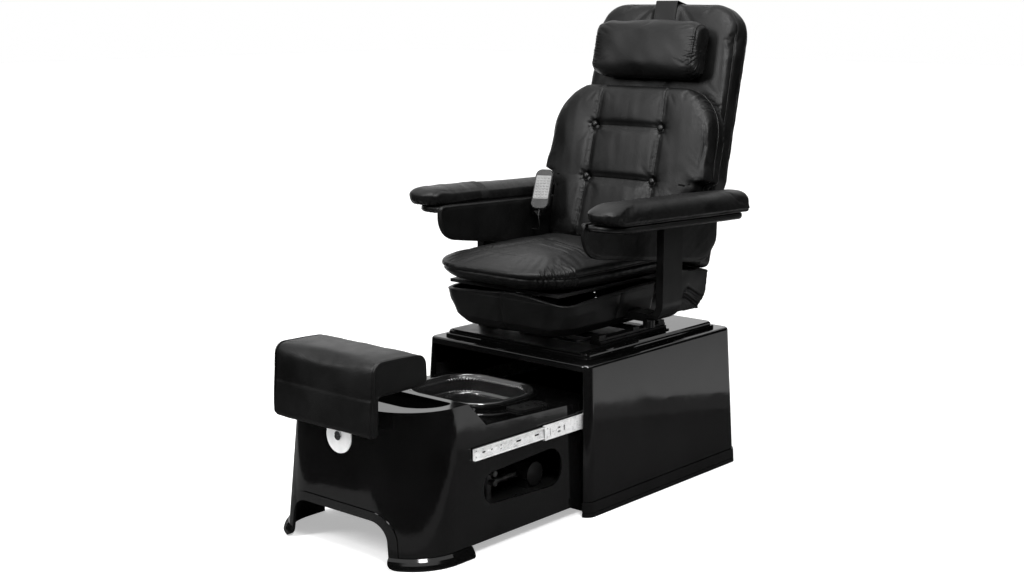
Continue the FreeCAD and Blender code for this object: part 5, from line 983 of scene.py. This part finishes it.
def arm_pad(side, sign):
    name = "arm_pad_" + side
    piece = copied(name, name + "_cover", 0.005)
    inflate(piece, arm_held, ARMS, cap=0.008, shrink=0.0035)
    divided(piece)
    skin = Skin(piece, ARMS)
    seam = skin.z - (PAD_LOW + 0.0085)
    sides = eased(0.85 - np.abs(skin.face_z), 0, 0.3)
    push = -0.0026 * hump(seam, 0.0026) * sides
    lower = sides * hump(seam - 0.012, 0.014)
    push += 0.0006 * lower * ripple(skin.at, 101 + (sign > 0), 0.028)
    front_path = curved([(sign * 0.300, -0.300), (sign * 0.330, -0.345), (sign * 0.380, -0.345),
                         (sign * 0.402, -0.290), (sign * 0.404, -0.200)])
    under_tip = eased(-skin.face_z, -0.25, 0.35) * eased(skin.z, PAD_LOW + 0.004, PAD_LOW + 0.012)
    push += under_tip * gathers(skin.at[:, :2], front_path, 103, 30, 0.022, 0.0020, 0.0026, 0.5)
    push += 0.0010 * ripple(skin.at, 105 + (sign > 0), 0.16) + 0.0003 * ripple(skin.at, 107, 0.05)
    skin.along(push)
    if sign < 0:
        skin.at[:, 2] = flattened(skin.at)
    skin.write()
    kept_near(piece, name, 0.0015, lambda s: np.abs(s.x) < 0.310, ARMS)
    kept_near(piece, name, 0.0, lambda s: s.z < PAD_LOW + 0.003, ARMS)
    dressed(piece, "arm_" + side, "black_leatherette", name)
    return piece


def flattened(at):
    """The used pad on the sitter's right has settled behind its tip."""
    settled = 1 - 0.14 * eased(at[:, 1], -0.36, -0.28)
    return PAD_LOW + (at[:, 2] - PAD_LOW) * settled


def arm_board(side, sign):
    name = "arm_board_" + side
    piece = copied(name, name + "_cover", 0.003, 3)
    skin = Skin(piece, ARMS)
    sides = eased(0.8 - np.abs(skin.face_z), 0, 0.4)
    push = -0.0012 * hump(skin.z - BOARD_GROOVE, 0.0016) * sides
    push += 0.0004 * ripple(skin.at, 111, 0.05) * sides
    under = eased(-skin.face_z, 0.3, 0.8)
    front_path = curved([(sign * 0.292, -0.335), (sign * 0.350, -0.335), (sign * 0.392, -0.300),
                         (sign * 0.396, -0.150)])
    push += under * gathers(skin.at[:, :2], front_path, 113, 34, 0.02, 0.0012, 0.0024, 0.4)
    skin.along(push)
    skin.write()
    kept_near(piece, name, 0.0, lambda s: (np.abs(s.face_z) > 0.7) | (np.abs(s.x) < 0.288), ARMS)
    welt = crossing(piece, ARMS, 2, BOARD_WELT, (sign * 0.344, -0.02), 300)
    dressed(piece, "arm_" + side, "black_board", name, finish="black_leatherette")
    piping(name + "_piping", welt, ARMS, 0.0018, "arm_" + side)


def arm_panel(side, sign):
    name = "arm_panel_" + side
    piece = copied(name, name + "_cover", 0.0035, 3)
    skin = Skin(piece, ARMS)
    faces = eased(np.abs(skin.face_x), 0.6, 0.9)
    push = 0.0007 * faces * ripple(skin.at, 121, 0.12) + 0.0003 * faces * ripple(skin.at, 122, 0.04)
    rim_gap = edge_gap(name, skin)
    push -= faces * 0.0012 * hump(rim_gap - 0.007, 0.0018)
    skin.along(push)
    skin.write()
    kept_near(piece, name, 0.0006, lambda s: np.abs(s.x) < 0.3, ARMS)
    welt = crossing(piece, ARMS, 0, sign * 0.2835, (-0.02, 0.750), 300)
    dressed(piece, "arm_" + side, "black_leatherette", name)
    piping(name + "_piping", welt, ARMS, 0.0017, "arm_" + side)


def edge_gap(node_name, skin):
    """How far each point lies inside an upright panel's outline, taken half way through the panel."""
    outline = crossing(nodes[node_name], ARMS, 0, float(np.mean(skin.x)), (-0.02, 0.750), 200)
    closed = np.vstack([outline, outline[:1]])[:, 1:]
    return beside(skin.at[:, 1:], closed)[0]


# Footrest

REST_FLAP_TOP = 0.466
REST_END = 0.190
REST_MIDDLE = (-1.078, 0.500)


def footrest_pad():
    piece = copied("footrest_pad", "footrest_cover", 0.0045)
    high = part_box("footrest_pad")[1]

    def held(skin):
        flap = eased(-skin.z, -REST_FLAP_TOP, 0.012 - REST_FLAP_TOP)
        under = eased(-skin.face_z, 0.3, 0.7)
        across = 1 - eased(np.abs(skin.face_x), 0.8, 0.95)
        return flap + under + across * hump(np.abs(skin.x) - REST_END, 0.004)

    inflate(piece, held, cap=0.009, shrink=0.003)
    divided(piece)
    skin = Skin(piece)
    push = 0.0010 * ripple(skin.at, 131, 0.15) + 0.0004 * ripple(skin.at, 132, 0.05)
    across = 1 - eased(np.abs(skin.face_x), 0.8, 0.95)
    push -= 0.0032 * hump(np.abs(skin.x) - REST_END + 0.003, 0.0032) * across
    seam = skin.z - (high[2] - 0.022)
    rear = eased(skin.face_y, 0.2, 0.6)
    push -= 0.0014 * hump(seam, 0.002) * rear
    skin.along(push)
    skin.write()
    welts = [crossing(piece, LEVEL, 0, end, REST_MIDDLE, 240) for end in (-REST_END, REST_END)]
    dressed(piece, "footrest", "black_leatherette", "footrest_pad")
    for side, welt in zip(("right", "left"), welts):
        piping("footrest_piping_" + side, welt, LEVEL, 0.0024, "footrest")


# Armrest sleeve

SLEEVE_END = -0.117
STRAP_START = -0.152
# The hem's line on the armrest's side: y and z at its front and at its rear
HEM = ((-0.381, 0.8365), (-0.117, 0.848))


def arm_sleeve(pad):
    """A thin cover over the pad's front, gathered under the tip, with a strap round its rear end."""
    piece = linked("arm_sleeve_cover", pad.data.copy())
    turn = ARMS.to_3x3()
    run = Vector((0, HEM[1][0] - HEM[0][0], HEM[1][1] - HEM[0][1]))
    cuts = ((Vector((0, SLEEVE_END, 0.85)), Vector((0, 1, 0))),
            (Vector((0, *HEM[0])), Vector((0, run.z, -run.y)).normalized()))
    mesh = bmesh.new()
    mesh.from_mesh(piece.data)
    for place, normal in cuts:
        bmesh.ops.bisect_plane(mesh, geom=mesh.verts[:] + mesh.edges[:] + mesh.faces[:],
                               plane_co=ARMS @ place, plane_no=turn @ normal, clear_outer=True)
    mesh.to_mesh(piece.data)
    mesh.free()
    solid = piece.modifiers.new("solid", "SOLIDIFY")
    solid.thickness = 0.0016
    solid.offset = 1
    bake(piece)
    skin = Skin(piece, ARMS)
    y, z = skin.y, skin.z
    band = eased(y, STRAP_START - 0.001, STRAP_START + 0.001)
    push = 0.0009 * band
    rest = 1 - band
    push += rest * (0.0007 * ripple(skin.at, 141, 0.09) + 0.0003 * ripple(skin.at, 142, 0.03) + 0.0008)
    hem = np.interp(y, *zip(*HEM))
    push += rest * 0.0010 * hump(z - hem - 0.003, 0.002)
    front_path = curved([(-0.300, -0.300), (-0.330, -0.355), (-0.380, -0.350), (-0.404, -0.280),
                         (-0.406, -0.200)])
    low = eased(hem + 0.022 - z, 0, 0.012)
    push += rest * low * (0.0006 + gathers(skin.at[:, :2], front_path, 143, 34, 0.020, 0.0014, 0.0026, 0.5))
    skin.along(push)
    skin.write()
    dressed(piece, "arm_right", "black_leatherette", "arm_sleeve")
    for face in piece.data.polygons:
        if (ARMS.inverted() @ face.center).y > STRAP_START:
            face.material_index = 1
    piece.data.materials.append(FINISHES["strap_webbing"])


# Handset

HANDSET = (Matrix.Translation((-0.238, 0.091, 0.859)) @ Matrix.Rotation(math.radians(23), 4, "Z")
           @ Matrix.Rotation(math.radians(-32), 4, "X"))
KEYPAD_FACE = -0.0110
KEYPAD = (-0.0250, 0.0250, -0.0362, 0.0469)
KEY_ROWS = 8
KEY_COLUMNS = 4
KEY_WIDE, KEY_TALL = 0.0086, 0.0066
# Keys with a paler print: column and row, counted from the lower left
PALE_KEYS = ((1, 7), (2, 7), (1, 5), (3, 2))


def rounded_loop(half_x, half_z, corner, steps=5):
    """Points round a rectangle with round corners, in its own plane."""
    points = []
    for quarter in range(4):
        sx, sz = ((1, 1), (-1, 1), (-1, -1), (1, -1))[quarter]
        for step in range(steps + 1):
            turn = math.pi / 2 * (quarter + step / steps)
            points.append((sx * (half_x - corner) + corner * math.cos(turn),
                           sz * (half_z - corner) + corner * math.sin(turn)))
    return points


def raised_plate(mesh, frame, centre, half_x, half_z, corner, rows, number=0):
    """A low plate with rolled edges; rows give its inset and local y from the foot up."""
    loops = []
    for inset, y in rows:
        loop = [mesh.verts.new(frame @ Vector((centre[0] + x, y, centre[1] + z)))
                for x, z in rounded_loop(half_x - inset, half_z - inset, max(corner - inset, 0.0002))]
        loops.append(loop)
    capped(mesh, loops, number)


def handset_keys():
    """A printed plate with rows of low keys, a few of them paler."""
    mesh = bmesh.new()
    left, right, low, high = KEYPAD
    centre = ((left + right) / 2, (low + high) / 2)
    raised_plate(mesh, HANDSET, centre, (right - left) / 2, (high - low) / 2, 0.004,
                 [(0, KEYPAD_FACE), (0, KEYPAD_FACE - 0.0007), (0.0006, KEYPAD_FACE - 0.0011)])
    pitch_x = (right - left - 0.004) / KEY_COLUMNS
    pitch_z = (high - low - 0.005) / KEY_ROWS
    top = KEYPAD_FACE - 0.0011
    for row in range(KEY_ROWS):
        for column in range(KEY_COLUMNS):
            place = (left + 0.002 + pitch_x * (column + 0.5), low + 0.0025 + pitch_z * (row + 0.5))
            number = 2 if (column, row) in PALE_KEYS else 1
            raised_plate(mesh, HANDSET, place, KEY_WIDE / 2, KEY_TALL / 2, 0.0018,
                         [(0, top + 0.0002), (0.0002, top - 0.0006), (0.0007, top - 0.0010)], number)
    piece = made(mesh, "handset_keys")
    dressed(piece, "arm_right", "grey_keypad", "handset_keypad")
    piece.data.materials.append(FINISHES["grey_key"])
    piece.data.materials.append(FINISHES["pale_key"])


RELIEF_ROOT = -0.0700
RELIEF_TOP = -0.0712
RELIEF_LONG = 0.021
RELIEF_RINGS = 6
RELIEF_SPOKES = 32


def strain_relief():
    """A tapered boot below the handset, cut by ring grooves."""
    profile = [(0.0, RELIEF_ROOT), (0.0050, RELIEF_ROOT)]
    step = RELIEF_LONG / RELIEF_RINGS
    for ring in range(RELIEF_RINGS):
        start = RELIEF_TOP - step * ring
        radius = 0.0048 - 0.0019 * ring / RELIEF_RINGS
        profile += [(radius, start), (radius - 0.0002, start - step * 0.55),
                    (radius - 0.0010, start - step * 0.65), (radius - 0.0011, start - step * 0.9)]
    profile += [(0.0027, RELIEF_TOP - RELIEF_LONG), (0.0, RELIEF_TOP - RELIEF_LONG)]
    mesh = bmesh.new()
    loops = []
    for radius, height in profile:
        turns = [2 * math.pi * spoke / RELIEF_SPOKES for spoke in range(RELIEF_SPOKES if radius else 1)]
        points = [Vector((radius * math.cos(turn), radius * math.sin(turn), height)) for turn in turns]
        loops.append([mesh.verts.new(HANDSET @ point) for point in points])
    walled(mesh, loops)
    dressed(made(mesh, "handset_strain_relief"), "arm_right", "black_rubber")


# Basin

BASIN_HALF = 0.168
BASIN_FRONT = -0.664
BASIN_REAR = -0.368
BASIN_CORNER = 0.104
BASIN_TOP = 0.357
BASIN_SEAT = 0.3465
BASIN_BOTTOM = 0.215
RIB_COUNT = 104
RIB_STEPS = 8
# How far a rib waves in and out at a row of studs and between two rows, mm
STUD = 3.0
BETWEEN_STUDS = 0.3


def basin_loop(inset, z, wave):
    """Points round the basin at an inset from its rim, drawn in and out once for every rib."""
    half_x, half_y = BASIN_HALF - inset, (BASIN_REAR - BASIN_FRONT) / 2 - inset
    corner = BASIN_CORNER - inset
    middle_y = (BASIN_REAR + BASIN_FRONT) / 2
    straight_x, straight_y = half_x - corner, half_y - corner
    arc = math.pi / 2 * corner
    total = 4 * (straight_x + straight_y + arc)
    count = RIB_COUNT * RIB_STEPS
    # Eight runs, a straight side and the corner after it in turn; a corner's run starts from its centre
    runs = []
    for turn, (side_x, side_y) in zip((0, 90, 180, 270), ((1, 1), (-1, 1), (-1, -1), (1, -1))):
        if turn % 180:
            start, length = (-side_x * straight_x, side_y * half_y), 2 * straight_x
        else:
            start, length = (side_x * half_x, -side_y * straight_y), 2 * straight_y
        runs += [(length, False, turn, start), (arc, True, turn, (side_x * straight_x, side_y * straight_y))]
    points = []
    for i in range(count):
        left = total * i / count
        for length, bent, turn, start in runs:
            if left <= length:
                break
            left -= length
        heading = math.radians(turn) + (left / corner if bent else 0)
        outward = Vector((math.cos(heading), math.sin(heading)))
        reach = corner * outward if bent else left * Vector((-outward.y, outward.x))
        point = Vector(start) + reach + outward * wave * math.cos(2 * math.pi * i / RIB_STEPS)
        points.append((point.x, point.y + middle_y, z))
    return points


def studded(inset, top, low_inset, low, count):
    """Rows down a wall that stand out in every second one, so that its ribs are broken into studs."""
    rows = []
    for step in range(count + 1):
        share = step / count
        rows.append((inset + (low_inset - inset) * share, top + (low - top) * share,
                     STUD if step % 2 else BETWEEN_STUDS))
    return rows


def basin():
    """The lift-out basin: rolled rim, ribbed walls above and below a ledge, round-cornered floor."""
    rows = [(48, BASIN_BOTTOM, 0), (26, 0.262, 0), (15, 0.338, 0), (14, BASIN_SEAT, 0), (-1.6, BASIN_SEAT, 0),
            (-2, 0.3480, 0), (-1.5, 0.3520, 0), (0, 0.3552, 0), (2.5, BASIN_TOP, 0), (6.0, 0.3568, 0),
            (8.6, 0.3552, 0), (10.5, 0.3520, 0), (14, 0.3475, 0)]
    rows += studded(17.5, 0.3440, 21.5, 0.3070, 8)
    rows += [(23.0, 0.3055, 0), (27.0, 0.3035, 0), (28.4, 0.3010, 0)]
    rows += studded(29.0, 0.2980, 40.0, 0.2380, 13)
    rows += [(45, 0.2270, 0), (52, 0.2200, 0), (70, 0.2190, 0)]
    mesh = bmesh.new()
    loops = [[mesh.verts.new(point) for point in basin_loop(inset * MM, z, wave * MM)]
             for inset, z, wave in rows]
    capped(mesh, loops)
    piece = made(mesh, "basin_moulding")
    dressed(piece, "foot_basin", "basin_plastic", "basin")


# Drawer slides

SLIDE_FRONT = -0.812
MIDDLE_FRONT = -0.5256
SLIDE_MIDDLE_Z = 0.275
# Cut-outs of a member: distance from its front end, height from its middle, half length, half height
INNER_CUTS = [(0.012, 0.0085, 0.0022, 0.0022), (0.012, -0.0085, 0.0022, 0.0022), (0.041, 0, 0.0085, 0.0026),
              (0.075, 0, 0.0030, 0.0030), (0.112, 0.004, 0.0024, 0.0024), (0.112, -0.006, 0.0024, 0.0024),
              (0.185, 0, 0.0110, 0.0026), (0.262, 0, 0.0100, 0.0026)]
MIDDLE_CUTS = [(0.010, 0.0120, 0.0030, 0.0020), (0.010, -0.0120, 0.0030, 0.0020), (0.0225, 0, 0.0016, 0.0110),
               (0.062, 0.0055, 0.0070, 0.0028), (0.062, -0.0060, 0.0070, 0.0028), (0.084, 0, 0.0032, 0.0085)]


# How far from the middle a cutting tool starts and ends, well past both faces of a member
CUT_REACH = (0.2770, 0.2925)


def stamped(node_name, name, body, side, front, cuts):
    """A slide member with its stamped holes and slots cut through the web."""
    piece = linked(name, nodes[node_name].data.copy())
    mesh = bmesh.new()
    for along, rise, half_long, half_high in cuts:
        corner = min(half_long, half_high) * 0.98
        points = rounded_loop(half_long, half_high, corner, 4)
        capped(mesh, [[mesh.verts.new((side * x, front + along + y, SLIDE_MIDDLE_Z + rise + z))
                       for y, z in points] for x in CUT_REACH])
    tool = made(mesh, name + "_tool")
    cut = piece.modifiers.new("cut", "BOOLEAN")
    cut.operation = "DIFFERENCE"
    cut.solver = "EXACT"
    cut.object = tool
    bake(piece)
    bpy.data.objects.remove(tool)
    dressed(piece, body, "bright_zinc", node_name)
    for face in piece.data.polygons:
        face.use_smooth = False


for side, sign in (("left", 1), ("right", -1)):
    stamped("slide_inner_" + side, "slide_inner_" + side + "_member", "bath", sign, SLIDE_FRONT, INNER_CUTS)
    stamped("slide_middle_" + side, "slide_middle_" + side + "_member", "slide_middle_" + side[0], sign,
            MIDDLE_FRONT, MIDDLE_CUTS)

seat_cushion()
seat_skirt()
lumbar_pad()
tuft_buttons()
back_cushion()
pillow()
pillow_strap()
rear_cover()
for side, sign in (("left", 1), ("right", -1)):
    pad = arm_pad(side, sign)
    arm_board(side, sign)
    arm_panel(side, sign)
arm_sleeve(pad)
footrest_pad()
handset_keys()
strain_relief()
cord.data.materials.append(FINISHES["black_rubber"])
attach(cord, "arm_right")
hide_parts("handset_cord")
basin()


# Floor and light

FLOOR_HALF = 30.0
FLOOR_LEVEL = -0.0004
MIRRORED_LEVEL = 0.0006
PATCH_LEVEL = 0.0008
# What polished faces mirror: rings of dim floor by outer radius and tone, a lit patch by its two radii
# and tone, and a dark studio round them
FLOOR_RINGS = ((1.30, 0.08), (1.60, 0.15))
LIT_PATCH = (1.60, 3.20, 0.70)
# The lit patch's two sides, degrees from +X
LIT_FROM, LIT_TO = 15, 85
STUDIO_RADIUS = 7.0
STUDIO_HEIGHT = 5.0
# The part of the studio's wall behind the object that is left pale, degrees from +X
PALE_FROM, PALE_TO = 95, 175


def stage_finish(name, tone, glow=0.0):
    s = Shader(name, Specular_IOR_Level=0.05, Emission_Color=grey(1.0), Emission_Strength=glow)
    return s.finish(Base_Color=s.tones(s.noise(2, 3), 0.4, 0.6, tone, tone * 0.97),
                    Roughness=s.scaled(s.noise(30, 2), 0.7, 0.8))


def staged(name, points, faces, finish):
    mesh = bpy.data.meshes.new(name)
    mesh.from_pydata(points, [], faces)
    piece = linked(name, mesh)
    mesh.materials.append(finish)
    return piece


def mirrored_only(piece, lit=False):
    """Seen in glossy reflections, and by nothing else unless it also shades what it faces."""
    piece.visible_camera = False
    piece.visible_diffuse = lit
    piece.visible_shadow = False
    piece.visible_transmission = False
    piece.visible_volume_scatter = False


def ring_points(radius, z, start=0.0, end=360.0, steps=64):
    turns = [math.radians(start + (end - start) * step / steps) for step in range(steps + 1)]
    return [(radius * math.cos(turn), radius * math.sin(turn), z) for turn in turns]


def band(name, inner, outer, finish, lit=False):
    """A strip between two rows of points, for polished faces to mirror."""
    count = len(inner)
    faces = [(i, i + 1, count + i + 1, count + i) for i in range(count - 1)]
    mirrored_only(staged(name, inner + outer, faces, finish), lit)


def make_stage():
    corners = [(x * FLOOR_HALF, y * FLOOR_HALF, FLOOR_LEVEL) for x, y in ((-1, -1), (1, -1), (1, 1), (-1, 1))]
    staged("floor", corners, [(0, 1, 2, 3)], stage_finish("floor", 0.88, 0.42))
    dark = stage_finish("studio_dark", 0.012)
    inner = 0.05
    for number, (outer, tone) in enumerate(FLOOR_RINGS):
        name = "floor_ring_%d" % number
        edges = [ring_points(radius, MIRRORED_LEVEL) for radius in (inner, outer)]
        band(name, *edges, stage_finish(name, tone))
        inner = outer
    near, far, tone = LIT_PATCH
    edges = [ring_points(radius, PATCH_LEVEL, LIT_FROM, LIT_TO, 32) for radius in (near, far)]
    band("lit_patch", *edges, stage_finish("lit_patch", tone))
    start, middle, top = [ring_points(radius, z, PALE_TO, 360 + PALE_FROM) for radius, z in (
        (inner, MIRRORED_LEVEL), (STUDIO_RADIUS, MIRRORED_LEVEL), (STUDIO_RADIUS, STUDIO_HEIGHT))]
    band("studio_floor", start, middle, dark)
    band("studio_wall", middle, top, dark, True)


def area_light(name, place, target, width, height, power):
    data = bpy.data.lights.new(name, "AREA")
    data.shape = "RECTANGLE"
    data.size = width
    data.size_y = height
    data.energy = power
    light = linked(name, data)
    light.location = place
    light.rotation_euler = (Vector(target) - Vector(place)).to_track_quat("-Z", "Y").to_euler()


def make_light():
    world = bpy.data.worlds.new("world")
    world.use_nodes = True
    world.node_tree.nodes["Background"].inputs["Color"].default_value = grey(1.0)
    world.node_tree.nodes["Background"].inputs["Strength"].default_value = 1.0
    bpy.context.scene.world = world
    area_light("key", (2.4, -2.0, 3.4), (0, -0.2, 0.7), 1.0, 1.0, 110)
    area_light("front", (-1.2, -3.6, 2.8), (0, -0.4, 0.6), 0.9, 1.6, 100)
    area_light("above", (0.2, -1.0, 3.6), (0, -0.3, 0.5), 1.4, 1.0, 60)
    bpy.context.scene.view_settings.view_transform = "Standard"


make_stage()
make_light()
